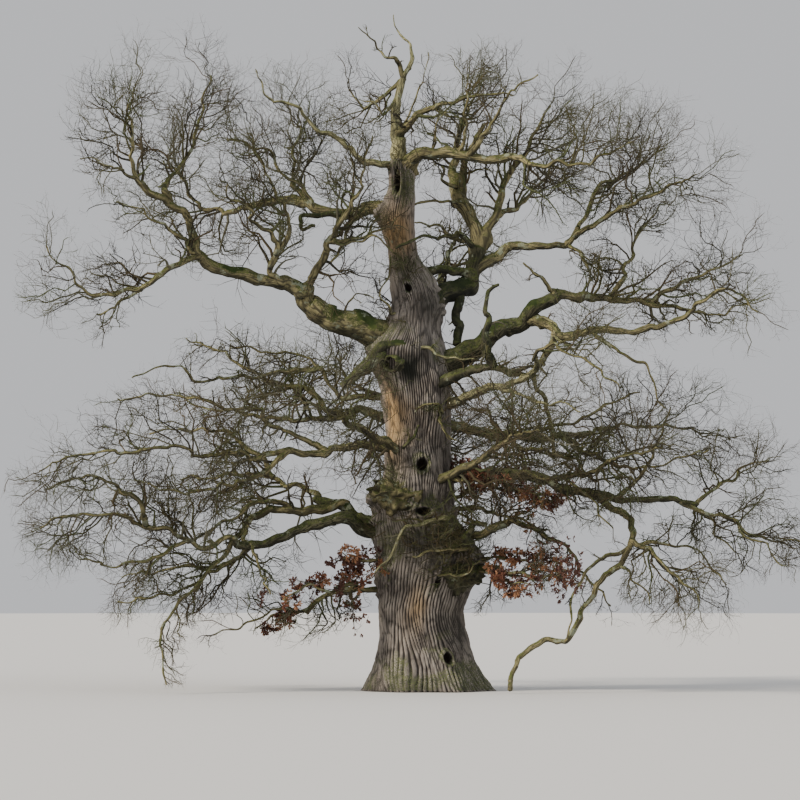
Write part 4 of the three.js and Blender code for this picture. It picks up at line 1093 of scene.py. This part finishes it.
# Lumps, gnarls and grain in the bark: their size, and how many there are to a metre. Gnarls reach a
# little beyond their burr, and grain is drawn out along the trunk.
LUMPS = ((0.07, 1.1), (0.028, 3.1))
GNARLS = (0.13, 5.5)
GNARL_REACH = 1.2
GRAIN = (0.006, 26)
GRAIN_STRETCH = 0.3
# The belt of knobbly bark: the heights between which it sets in and between which it ends.
BELT = ((3.0, 3.7), (6.2, 5.2))
BUD_HEIGHT = 0.04


def row_heights():
    """The heights of the rows of the trunk's skin, closer together at hollows."""
    fine = np.linspace(0, TRUNK_TOP, 2000)
    wanted = np.ones_like(fine)
    for _, height, _, tall, _, _ in HOLLOWS:
        wanted += HOLLOW_ROWS[0] * fading((fine - height) / (tall * HOLLOW_ROWS[1]))
    share = np.cumsum(wanted)
    share = (share - share[0]) / (share[-1] - share[0])
    return np.interp(np.linspace(0, 1, TRUNK_ROWS), share, fine)


def shoulder(limb, angle, z):
    """How far the trunk swells where a limb leaves it."""
    high, wide, weight = SHOULDER
    path = on_curve(limb.middles, np.linspace(0, len(limb.middles) - 1, 200))
    thick, centre = trunk_at(path[:, 2])
    out = path - centre
    exit_at = np.argmax(np.linalg.norm(out[:, :2], axis=1) > thick)
    towards = math.degrees(math.atan2(out[exit_at, 1], out[exit_at, 0]))
    across = np.radians(facing(angle, towards)) * thick[exit_at]
    away = np.hypot(across, (z - path[exit_at, 2]) * weight)
    return high * limb.widths[0] * fading(away / (wide * limb.widths[0]))


def furrows(angle, z, radius, out):
    """How high the bark's ridges stand, as 0 to 1: they run up the trunk, sway, and part at hollows."""
    degrees, stretch, scale = WANDER
    flow = angle + degrees * soft_noise(np.stack([out[..., 0], out[..., 1], z * stretch], -1), scale)
    flow = flow + FOOT_TURN * z * smoothstep(5, 1, z)
    share, wider, taller = PARTING
    for towards, height, wide, tall, _, _ in HOLLOWS:
        turned = (angle - towards + 540) % 360 - 180
        near = np.hypot(np.radians(turned) * radius / (wide * wider), (z - height) / (tall * taller))
        flow = flow - share * turned * fading(near)
    flow = np.radians(flow)
    even = mix(*BARK_CYLINDER, z / TRUNK_TOP)
    unrolled = np.stack([even * np.cos(flow), even * np.sin(flow), z], -1)
    sway = sum(size * soft_noise(unrolled * [1, 1, stretch], scale) for size, scale, stretch in RIDGE_SWAYS)
    coarse, fine = (
        smoothstep(*RIDGE_RISE, np.abs(np.sin(flow / 2 * count + math.pi * sway))) for count in RIDGES_ROUND
    )
    patches = soft_noise(unrolled * [1, 1, 0.35] + 3, 1.7) + 0.25 * smoothstep(2.5, 6.5, z)
    ridge = mix(coarse, fine, smoothstep(0.05, 0.3, patches))
    return ridge * mix(0.4, 1, bark_ridges(unrolled, *RIDGE_BREAKS))


def trunk_places():
    """The trunk's skin: its rings with roots, burrs, shoulders under limbs, hollows and bark."""
    angles = np.arange(TRUNK_COLUMNS) * 360 / TRUNK_COLUMNS
    z, angle = np.meshgrid(row_heights(), angles, indexing="ij")
    radius = trunk_radius(angle, z)
    _, middle = trunk_at(z)
    for limb in everything:
        if limb.on_trunk:
            radius = radius + shoulder(limb, angle, z)
    out = np.stack([np.cos(np.radians(angle)), np.sin(np.radians(angle)), np.zeros_like(z)], -1)
    skin = middle + out * radius[..., None]
    lumps = sum(soft_noise(skin, scale) * size for size, scale in LUMPS)
    gnarls = np.zeros_like(z)
    for towards, height, _, width, tall in BURRS:
        spot = fading(facing(angle, towards) / (width * GNARL_REACH), (z - height) / (tall * GNARL_REACH))
        gnarls = np.maximum(gnarls, spot)
    lumps = lumps + gnarls * np.abs(soft_noise(skin, GNARLS[1])) * GNARLS[0]
    ridge = furrows(angle, z, radius, out)
    grain = soft_noise(skin * np.array((1, 1, GRAIN_STRETCH)), GRAIN[1]) * GRAIN[0]
    starts, ends = (smoothstep(*heights, z + lumps * 4) for heights in BELT)
    rough = np.maximum(gnarls, 0.5 * (starts * ends))
    buds = smoothstep(0.1, 0.55, soft_noise(skin, 7.5) + 0.5 * soft_noise(skin, 17))
    ridge = mix(ridge, 0.35 + 0.65 * buds, 0.8 * rough)
    relief = lumps + BARK_DEPTH * (ridge - 0.7) + BUD_HEIGHT * rough * buds + grain
    dark = np.zeros_like(z)
    moss = np.zeros_like(z)
    tint = np.zeros_like(z)
    for towards, height, wide, tall, deep, mossy in [*HOLLOWS, *SKIN_HOLLOWS]:
        across = np.radians(facing(angle, towards)) * radius
        near = np.hypot(across / wide, (z - height) / tall)
        relief = relief * mix(1, 0.3, fading(near))
        rim = RIM_HEIGHT * fading((near - RIM_AT) / RIM_WIDTH)
        relief = relief - deep * smoothstep(*HOLLOW_WALL, near) + rim
        # Painted shade inside the hollows.
        dark = np.maximum(dark, smoothstep(*HOLLOW_SHADE, near))
        moss = np.maximum(moss, mossy * fading((near - RIM_AT) / RIM_MOSS))

    def patch(towards, height, wide, tall):
        return fading(np.radians(facing(angle, towards)) * radius / wide, (z - height) / tall)

    for place in MOSSY:
        moss = np.maximum(moss, patch(*place))
    # Painted shade takes the tint below 0, and painted sunlight lifts it above 0.
    for *place, strength in SHADE_AND_SUN_PATCHES:
        tint = tint + strength * patch(*place)
    skin = skin + out * relief[..., None]
    # Inside hollows the ridge shade falls below 0, and the bark paints it near black as painted shade.
    ridge = ridge * (1 - dark) - dark
    return closed(skin, middle[0] * [1, 1, 0], middle[-1], ridge=ridge, moss=moss * (1 - dark), tint=tint)


# How dark the painted shade near limbs' roots is, over what share of a limb's length it ends, and how far
# along some it reaches.
ROOT_SHADE = 0.68
ROOT_SHADE_END = 0.15
SHADED_ROOTS = {
    "right_fork_bough": 0.6,
    "neck_post": 1.0,
    "right_great_bough": 0.2,
    "eye_arch": 0.35,
    "left_low_bough": 0.25,
    "under_post": 0.5,
}

# Thick moss that hangs over some limbs' sides: where along them, and its half length, as shares. The
# others have it only in the fork where they begin.
FORK_MOSS = [(0, 1e-6)]
MOSSY_TOPS = {
    "left_great_bough": [(0.33, 0.09), (0.6, 0.1)],
    "left_great_arm": [(0.06, 0.07), (0.66, 0.12)],
    "left_low_bough": [(0.3, 0.15), (0.75, 0.12)],
    "right_great_bough": [(0.45, 0.12), (0.8, 0.1)],
    "right_fork_bough": [(0.5, 0.2)],
    "eye_arch": [(0.3, 0.2)],
}

# How slender some limbs get beyond the first part of their length, and where that sets in.
SLENDER_TIPS = {"top_stem": 0.55, "dead_left_limb": 0.85}
SLENDER_FROM = (0.1, 0.42)

# Fewest rows of a limb's skin, how many knots stand on it to a metre, how wide they are as a share of
# its radius, and how high as a share of their width.
LEAST_ROWS = 8
KNOTS_PER_METRE = 1.6
KNOT_WIDTHS = (0.35, 0.8)
LEAST_KNOT = 0.01
KNOT_RISE = 0.6
MOSS_STRENGTH = 1.8
PLATE_STRETCH = 0.13


def turned_round(path, turns):
    """The directions out of a path at some turns round it, carried along it without twist, and its way."""
    way = unit(np.gradient(path, axis=0))
    side = sideways(way[0], np.array(0.0), np.array(math.pi / 2))
    sides_of = []
    for ahead in way:
        side = unit(side - ahead * (side @ ahead))
        sides_of.append(side)
    side = np.array(sides_of)[:, None]
    across = np.cross(side, way[:, None])
    turns = turns[None, :, None]
    return side * np.cos(turns) + across * np.sin(turns), way


def knots_on(limb, widths, degrees):
    """How far knots swell a limb's skin."""
    rows = len(widths) - 1
    swell = np.zeros((rows + 1, len(degrees)))
    draw = random_from(limb.seed + 9)
    for _ in range(math.ceil(limb.length * KNOTS_PER_METRE)):
        at = draw() * rows
        towards = draw() * 360
        size = widths[int(at)] * mix(*KNOT_WIDTHS, draw()) + LEAST_KNOT
        along = (np.arange(rows + 1)[:, None] - at) * limb.length / rows
        away = np.hypot(along, np.radians(facing(degrees[None], towards)) * widths[:, None])
        swell += KNOT_RISE * size * fading(away / size)
    return swell


def limb_places(limb, columns, step, spacing, depth):
    """A limb's skin: a tapering tube through its middles, with crooks, knots, lumps and bark."""
    rows = max(LEAST_ROWS, math.ceil(limb.length / step))
    t = np.linspace(0, len(limb.middles) - 1, rows + 1)
    share = np.linspace(0, 1, rows + 1)
    widths = np.interp(t, np.arange(len(limb.widths)), limb.widths)
    widths = widths * mix(1, SLENDER_TIPS.get(limb.name, 1), smoothstep(*SLENDER_FROM, t / t[-1]))
    crooked = float(np.clip(1.25 - 3 * limb.widths[0], 0.35, 1))
    path = crook(on_curve(limb.middles, t), crooked)
    turns = np.arange(columns) * 2 * math.pi / columns
    out, way = turned_round(path, turns)
    skin = path[:, None] + out * widths[:, None, None]
    uneven = np.clip(0.34 - 0.55 * widths[:, None], 0.12, 0.3)
    swell = 1 + uneven * soft_noise(skin, 1.9) + 0.6 * uneven * soft_noise(skin, 4.3)
    unrolled = np.stack([
        np.cos(turns)[None] * widths[:, None],
        np.sin(turns)[None] * widths[:, None],
        np.broadcast_to((t * limb.length / t[-1])[:, None], (rows + 1, columns)),
    ], -1) + limb.seed % 97
    ridge = bark_ridges(unrolled, spacing, PLATE_STRETCH)
    knots = knots_on(limb, widths, np.arange(columns) * 360 / columns)
    radius = widths[:, None] * swell + knots + depth * (ridge - 0.6)
    skin = path[:, None] + out * radius[..., None]
    # Painted shade near the roots of some limbs, where they leave the crotches they grow from.
    shaded_to = SHADED_ROOTS.get(limb.name, -1)
    painted_shade = ROOT_SHADE * smoothstep(shaded_to + ROOT_SHADE_END, shaded_to - ROOT_SHADE_END, share)
    tint = np.repeat(-painted_shade[:, None], columns, axis=1)
    tufts = sum(fading((share - at) / half) for at, half in MOSSY_TOPS.get(limb.name, FORK_MOSS))
    upward = out[..., 2] + 0.5 * soft_noise(skin, 3)
    moss = MOSS_STRENGTH * tufts[:, None] * smoothstep(-0.35, 0.35, upward)
    blunt = path[-1] + way[-1] * widths[-1] * 0.6
    return closed(skin, path[0], blunt, ridge=ridge, moss=moss, tint=tint)


# Broken stumps that the skin alone carries: where each begins and ends, how rough it is, and its rings
# as how far along it they lie and their radius. The last ones turn back inside, so it is hollow.
STUMP_COLUMNS = 64
STUMPS = {
    "eye": ((-0.62, -0.35, 9.1), (-1.02, -1.05, 9.04), 0.11, [
        (0, 0.34), (0.2, 0.32), (0.4, 0.29), (0.6, 0.265), (0.8, 0.255), (0.93, 0.26), (1.02, 0.245),
        (1.05, 0.215), (1.0, 0.19), (0.85, 0.175), (0.7, 0.15), (0.55, 0.11), (0.45, 0.05)]),
    "shelf": ((-0.5, -0.5, 5.2), (-1.42, -0.95, 5.62), 0.34, [
        (0, 0.5), (0.2, 0.48), (0.4, 0.44), (0.55, 0.4), (0.7, 0.37), (0.82, 0.33), (0.92, 0.31),
        (1.0, 0.27), (1.05, 0.2), (1.0, 0.13), (0.93, 0.06)]),
    "right_burr": ((0.6, -0.5, 3.2), (1.2, -0.95, 3.45), 0.42, [
        (0, 0.55), (0.25, 0.52), (0.5, 0.46), (0.75, 0.4), (0.95, 0.28), (1.05, 0.14), (1.08, 0.05)]),
}


def stump_places(root, tip, rough, rings):
    """A broken stump's skin, rough all round and hollow at its end."""
    root, tip, rings = (np.array(values) for values in (root, tip, rings))
    finer = np.linspace(0, len(rings) - 1, 4 * len(rings))
    along, radius = (np.interp(finer, np.arange(len(rings)), column) for column in rings.T)
    way = unit(tip - root)
    side = unit(np.cross(way, UP))
    over = np.cross(side, way)
    turn = np.arange(STUMP_COLUMNS) * 2 * math.pi / STUMP_COLUMNS
    out = side * np.cos(turn)[:, None] + over * np.sin(turn)[:, None]
    path = root + (tip - root) * along[:, None]
    skin = path[:, None] + out[None] * radius[:, None, None]
    lumps = rough * (soft_noise(skin, 2.6) + 0.5 * soft_noise(skin, 6) + 0.25 * soft_noise(skin, 14))
    skin = skin + out[None] * (lumps * smoothstep(0.02, 0.2, radius[:, None]))[..., None]
    splinters = rough * 0.8 * soft_noise(skin, 4.5) * smoothstep(0.4, 1, along[:, None])
    skin = skin + way * splinters[..., None]
    # Inside the broken end: mostly painted shade, near black, over warm raw wood.
    inside = (np.arange(len(along)) > np.argmax(along) + 4)[:, None]
    ridge = np.where(inside, -0.62, 0.4 + 0.6 * soft_noise(skin, 9))
    tint = np.where(inside, 1.4 + soft_noise(skin, 12), 0.0)
    return closed(skin, path[0], path[-1], ridge=ridge, tint=tint)


class Wire:
    """A value in a material's maths, with the operators that it needs."""

    def __init__(self, finish, socket):
        self.finish = finish
        self.socket = socket

    def maths(self, operation, first, second):
        return self.finish.node("ShaderNodeMath", {"operation": operation}, {0: first, 1: second})

    def __add__(self, other):
        return self.maths("ADD", self, other)

    def __radd__(self, other):
        return self.maths("ADD", other, self)

    def __sub__(self, other):
        return self.maths("SUBTRACT", self, other)

    def __rsub__(self, other):
        return self.maths("SUBTRACT", other, self)

    def __mul__(self, other):
        return self.maths("MULTIPLY", self, other)

    def __rmul__(self, other):
        return self.maths("MULTIPLY", other, self)


class Finish:
    """A material, and the one method that adds a node to it."""

    def __init__(self, name, roughness=0.9):
        self.material = bpy.data.materials.new(name)
        self.material.use_nodes = True
        self.tree = self.material.node_tree
        self.shader = self.tree.nodes["Principled BSDF"]
        self.shader.inputs["Roughness"].default_value = roughness
        self.shader.inputs["Specular IOR Level"].default_value = 0.25

    def feed(self, socket, value):
        if isinstance(value, Wire):
            self.tree.links.new(value.socket, socket)
        elif isinstance(value, tuple) and len(value) == 3 and socket.type == "RGBA":
            socket.default_value = (*value, 1)
        else:
            socket.default_value = value

    def node(self, kind, settings, sockets, out=0):
        made = self.tree.nodes.new(kind)
        for setting, value in settings.items():
            setattr(made, setting, value)
        for socket, value in sockets.items():
            self.feed(made.inputs[socket], value)
        return Wire(self, made.outputs[out])

    def blend(self, share, low, high):
        return self.node("ShaderNodeMix", {"data_type": "RGBA"}, {0: share, 6: low, 7: high}, 2)

    def between(self, value, low, high):
        settings = {"interpolation_type": "SMOOTHSTEP"}
        return self.node("ShaderNodeMapRange", settings, {0: value, 1: low, 2: high})

    def attribute(self, name):
        return self.node("ShaderNodeAttribute", {"attribute_name": name}, {}, "Fac")

    def places(self):
        return self.node("ShaderNodeTexCoord", {}, {}, "Object")

    def stretched(self, along):
        return self.node("ShaderNodeMapping", {}, {"Vector": self.places(), "Scale": (1, 1, along)})

    def cloud(self, scale, detail=4, where=None):
        sockets = {"Vector": where or self.places(), "Scale": scale, "Detail": detail}
        return self.node("ShaderNodeTexNoise", {}, sockets)

    def upward(self):
        normal = self.node("ShaderNodeNewGeometry", {}, {}, "Normal")
        return self.node("ShaderNodeSeparateXYZ", {}, {0: normal}, 2)


# Warm pale colour: painted sunlight on the trunk, and the raw broken wood inside stumps.
SUNLIGHT_AND_RAW_WOOD = (0.43, 0.285, 0.135)
THICK_MOSS = (0.021, 0.036, 0.007)
LICHEN = (0.27, 0.3, 0.21)
# Painted shade: the colour of faces that look down and of darkened patches.
PAINTED_SHADE_COLOUR = (0.016, 0.017, 0.013)
# Painted shade, near black, inside hollows.
HOLLOW_SHADE_COLOUR = (0.016, 0.011, 0.008)


def bark_finish(name, grain, shaded_furrow, ridge_dark, ridge_light, moss, moss_from, lichen_from):
    """Ridged bark: furrows deepened with painted shade, mottled ridges, moss where it faces up, lichen,
    painted sunlight and raw wood in warm patches, and painted shade on undersides, in dark patches and in
    hollows.
    """
    finish = Finish(name)
    ridge = finish.attribute("ridge")
    mottle = finish.cloud(1.6, 5)
    fibre = finish.cloud(22, 6, finish.stretched(grain))
    colour = finish.blend(finish.between(mottle + 0.35 * fibre, 0.45, 0.9), ridge_dark, ridge_light)
    tint = finish.attribute("tint")
    # Where the tint is above 0: painted sunlight on the trunk, and raw wood inside stumps.
    colour = finish.blend(finish.between(tint, 0.0, 2.0), colour, SUNLIGHT_AND_RAW_WOOD)
    # Furrows: the bark's own darker colour, deepened as painted shade.
    colour = finish.blend(finish.between(ridge, 0.05, 0.7), shaded_furrow, colour)
    mossy = finish.attribute("moss")
    upward = finish.upward() * 0.55 + mossy * 0.5
    shade = finish.between(upward + finish.cloud(1.3, 4), moss_from, moss_from + 0.22)
    speckle = finish.between(finish.cloud(34, 3), 0.35, 0.62)
    moss_colour = finish.blend(finish.between(finish.cloud(7, 4), 0.35, 0.65), *moss)
    thick = finish.between(mossy, 1.0, 1.6)
    moss_colour = finish.blend(thick * 0.85, moss_colour, THICK_MOSS)
    colour = finish.blend(shade * finish.between(speckle + thick, 0.0, 1.0), colour, moss_colour)
    lichen = finish.between(finish.cloud(3.1, 3) + 0.3 * finish.cloud(19, 4), lichen_from, lichen_from + 0.08)
    colour = finish.blend(lichen * 0.7, colour, LICHEN)
    # Painted shade on faces that look down, and wherever the tint is below 0.
    painted_shade = finish.between(0.35 * finish.cloud(5, 3) - finish.upward(), 0.3, 1.1) * 0.8
    colour = finish.blend(finish.between(0.0 - tint, 0.0, 1.3) + painted_shade, colour, PAINTED_SHADE_COLOUR)
    # Painted shade, near black, inside hollows, where the ridge shade is below 0.
    colour = finish.blend(finish.between(ridge, -0.9, -0.1), HOLLOW_SHADE_COLOUR, colour)
    finish.feed(finish.shader.inputs["Base Color"], colour)
    sockets = {"Strength": 0.55, "Distance": 0.012, "Height": fibre + 0.5 * speckle}
    finish.feed(finish.shader.inputs["Normal"], finish.node("ShaderNodeBump", {}, sockets))
    return finish.material


def plain_finish(name, colour, roughness):
    finish = Finish(name, roughness)
    finish.feed(finish.shader.inputs["Base Color"], colour)
    return finish.material


# Barks: how far the grain is drawn out, colours of furrows, deepened by painted shade, and of dark and light
# ridges, dark and light moss, and where moss and lichen set in.
BARKS = {
    "trunk bark": (0.16, (0.018, 0.015, 0.013), (0.14, 0.12, 0.104), (0.32, 0.283, 0.245),
                   ((0.062, 0.075, 0.034), (0.125, 0.138, 0.058)), 0.66, 0.88),
    "bough bark": (0.8, (0.068, 0.06, 0.034), (0.112, 0.1, 0.05), (0.3, 0.262, 0.13),
                   ((0.03, 0.044, 0.012), (0.1, 0.12, 0.03)), 0.56, 0.74),
    # Mossy shaded bark: more moss, and darker ridges and furrows as painted shade, for limbs that stand in
    # shade.
    "mossy bark": (0.8, (0.027, 0.027, 0.016), (0.048, 0.046, 0.026), (0.13, 0.122, 0.07),
                   ((0.024, 0.036, 0.011), (0.095, 0.115, 0.03)), 0.42, 0.78),
    "dead wood": (0.8, (0.088, 0.083, 0.046), (0.165, 0.157, 0.085), (0.4, 0.375, 0.205),
                  ((0.08, 0.095, 0.035), (0.17, 0.185, 0.075)), 0.6, 0.8),
}
barks = {name: bark_finish(name, *row) for name, row in BARKS.items()}

TWIG_COLOURS = {
    "olive": (0.07, 0.066, 0.026),
    "umber": (0.056, 0.047, 0.026),
    "green": (0.08, 0.09, 0.038),
    "brown": (0.082, 0.063, 0.034),
    "grey": (0.105, 0.1, 0.064),
    "dark": (0.036, 0.033, 0.02),
}
LEAF_COLOURS = {
    "russet": (0.17, 0.07, 0.044),
    "chestnut": (0.085, 0.038, 0.028),
    "tan": (0.3, 0.15, 0.08),
}

# Limbs and stumps whose bark is not plain bough bark.
UNLIKE_BARKS = {
    "dead wood": ["dead_left_limb", "top_stem", "right_pale_limb", "pale_spur", "pale_hook", "front_droop",
                  "eye_spray"],
    # These limbs carry painted shade in their darker bark as well as more moss.
    "mossy bark": ["eye_arch", "left_stub_limb", "under_limb", "under_post", "fork_bridge", "fork_mossy_arm",
                   "front_mossy_stub", "right_great_bough", "right_fork_bough", "neck_post",
                   "left_low_bough", "left_sweeping_bough", "right_sweeping_bough", "curl_hook",
                   "middle_curl", "stump_eye", "stump_right_burr"],
}
bark_of = {name: barks[kind] for kind, names in UNLIKE_BARKS.items() for name in names}

# Skins of limbs: step along them, spacing of the bark's plates, and its depth.
BOUGH_SKIN = (0.045, 0.042, 0.011)
CROWN_SKIN = (0.07, 0.05, 0.006)
BOUGH_COLUMN_WIDTH = 0.026
BOUGH_COLUMNS = (24, 72)
CROWN_COLUMNS = 18
SIDE_COLUMNS = 12
TWIG_SIDES = (5, 3, 3, 3)
TWIG_ROUGHNESS = 0.85
LEAF_ROUGHNESS = 0.7


def dress(piece, material, nodes=()):
    piece.data.materials.clear()
    piece.data.materials.append(material)
    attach(piece, "root")
    if nodes:
        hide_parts(*nodes)


def make_trunk():
    dress(wrapped_grid("oak_trunk", *trunk_places()), barks["trunk bark"], ["trunk"])
    for name, stump in STUMPS.items():
        bark = bark_of.get("stump_" + name, barks["bough bark"])
        dress(wrapped_grid("oak_stump_" + name, *stump_places(*stump)), bark)


def make_limbs():
    for limb in everything:
        if limb in boughs:
            columns = int(np.clip(limb.widths[0] * 2 * math.pi / BOUGH_COLUMN_WIDTH, *BOUGH_COLUMNS))
            made = limb_places(limb, columns, *BOUGH_SKIN)
        else:
            made = limb_places(limb, CROWN_COLUMNS if limb in crowns else SIDE_COLUMNS, *CROWN_SKIN)
        bark = bark_of.get(limb.name, barks["bough bark"])
        nodes = [] if limb in sides else [limb.name]
        dress(wrapped_grid("oak_" + limb.name, *made), bark, nodes)


def small_things(kind, shade, colour, roughness, mesh_arrays, smooth):
    """One piece of many twigs or leaves, in one colour."""
    name = f"oak_{kind}_{shade}"
    piece = new_object(name, mesh_of_triangles(name, *mesh_arrays, smooth))
    dress(piece, plain_finish(f"{shade} {kind}", colour, roughness))


def make_twigs():
    ranks = list(zip((first_sprays, second_sprays, third_sprays, fourth_sprays), TWIG_SIDES))
    for k, (shade, colour) in enumerate(TWIG_COLOURS.items()):
        tubes = []
        for sprays, sides_round in ranks:
            mine = pick(sprays, sprays.spray % len(TWIG_COLOURS) == k)
            if len(mine.middles):
                tubes.append(twig_tubes(mine, sides_round))
        small_things("twigs", shade, colour, TWIG_ROUGHNESS, joined(tubes), True)


# A withered oak leaf's half outline: how far along it, and out from its midrib, as shares of its length.
LEAF_LOBES = [(0, 0), (0.28, 0.17), (0.42, 0.09), (0.7, 0.25), (1, 0)]
LEAF_LENGTH = 0.12
LEAF_SIZES = (0.7, 1.25)
LEAF_FOLDS = (0.1, 0.7)
LEAF_CURLS = (-0.5, 0.5)
LEAF_SPREAD = 0.6
LEAF_DROOP = 0.35
LEAVES = 9200

# How far from the trunk's middle leaves are kept, and by what share of the sprays.
LEAFY_SIDE = 4.6
LEAFY_SPRAYS = 0.14


def make_leaves():
    leafy = np.array([limb.leafy for limb in everything])
    leafy_sides = np.array([limb.leafy and limb in sides for limb in everything])
    dice = np.random.default_rng(21)
    roots = []
    ways = []
    spray = []
    for sprays in (third_sprays, fourth_sprays):
        keeps = (sprays.spray % 97) / 97 < np.where(leafy_sides[sprays.limb], 1, LEAFY_SPRAYS)
        keeps &= leafy[sprays.limb] & (np.abs(sprays.middles[:, -1, 0]) < LEAFY_SIDE)
        mine = pick(sprays, keeps)
        for j in range(1, mine.middles.shape[1]):
            roots.append(mine.middles[:, j])
            ways.append(unit(mine.middles[:, j] - mine.middles[:, j - 1]))
            spray.append(mine.spray)
    roots, ways, spray = (np.concatenate(values) for values in (roots, ways, spray))
    chosen = dice.choice(len(roots), LEAVES)
    roots, ways, spray = roots[chosen], ways[chosen], spray[chosen]
    many = len(roots)
    way = unit(ways + dice.normal(size=(many, 3)) * LEAF_SPREAD - UP * LEAF_DROOP)
    side = unit(np.cross(way, unit(dice.normal(size=(many, 3)))))
    over = np.cross(side, way)
    size = LEAF_LENGTH * dice.uniform(*LEAF_SIZES, many)
    fold = dice.uniform(*LEAF_FOLDS, many)
    curl = dice.uniform(*LEAF_CURLS, many)
    places = []
    for along, out in LEAF_LOBES:
        for share in (-1, 0, 1):
            if share and not out:
                continue
            lift = abs(share) * out * fold + curl * along * along
            spot = way * along + side * (share * out) + over * lift[:, None]
            places.append(roots + spot * size[:, None])
    places = np.stack(places, 1)
    last = 3 * (len(LEAF_LOBES) - 2) + 1
    one = [(0, 2, 1), (0, 3, 2)]
    for row in range(len(LEAF_LOBES) - 3):
        for column in (1, 2):
            a = 3 * row + column
            one += [(a, a + 1, a + 4), (a, a + 4, a + 3)]
    one += [(last - 3, last - 2, last), (last - 2, last - 1, last)]
    for k, (shade, colour) in enumerate(LEAF_COLOURS.items()):
        mine = places[(spray // 7) % len(LEAF_COLOURS) == k]
        mesh_arrays = (mine.reshape(-1, 3), copied(one, len(mine), mine.shape[1]))
        small_things("leaves", shade, colour, LEAF_ROUGHNESS, mesh_arrays, False)


# The camera: metres that its picture spans at the tree, and where it stands and looks.
FRAME_WIDTH = 22.22
VIEW_DISTANCE = 120.0
VIEW_MIDDLE = Vector((-0.78, 0, 8.06))
EYE_HEIGHT = 4.0
SENSOR_WIDTH = 36
FARTHEST = 1000


def make_camera():
    place = Vector((VIEW_MIDDLE.x, -VIEW_DISTANCE, EYE_HEIGHT))
    data = bpy.data.cameras.new("camera")
    camera = new_object("camera", data)
    camera.location = place
    camera.rotation_euler = (VIEW_MIDDLE - place).to_track_quat("-Z", "Y").to_euler()
    data.sensor_width = SENSOR_WIDTH
    data.lens = SENSOR_WIDTH * (VIEW_MIDDLE - place).length / FRAME_WIDTH
    data.clip_end = FARTHEST
    bpy.context.scene.camera = camera


FLOOR_RADIUS = 140
FLOOR_COLOUR = (0.72, 0.71, 0.69)


def make_floor():
    bpy.ops.object.select_all(action="DESELECT")
    bpy.ops.mesh.primitive_circle_add(vertices=96, radius=FLOOR_RADIUS, fill_type="NGON", location=(0, 0, 0))
    floor = bpy.context.object
    floor.name = "floor"
    floor.data.materials.append(plain_finish("pale floor", FLOOR_COLOUR, 0.9))


SKY_COLOUR = (0.88, 0.89, 0.92, 1)
SKY_STRENGTH = 0.72

# Lamps: which way they shine, their strength, softness in degrees and colour.
LAMPS = {
    "key": ((0.9, 0.48, -0.58), 4.2, 8, (1, 0.91, 0.78)),
    "fill": ((-0.8, 0.5, -0.5), 0.7, 40, (0.86, 0.92, 1)),
}


def make_lights():
    world = bpy.data.worlds.new("studio")
    bpy.context.scene.world = world
    world.use_nodes = True
    sky = world.node_tree.nodes["Background"].inputs
    sky["Color"].default_value = SKY_COLOUR
    sky["Strength"].default_value = SKY_STRENGTH
    for name, (towards, strength, soft, colour) in LAMPS.items():
        data = bpy.data.lights.new(name, "SUN")
        data.energy = strength
        data.angle = math.radians(soft)
        data.color = colour
        lamp = new_object(name, data)
        lamp.rotation_euler = Vector(towards).to_track_quat("-Z", "Y").to_euler()


make_camera()
make_floor()
make_lights()
make_trunk()
make_limbs()
make_twigs()
make_leaves()
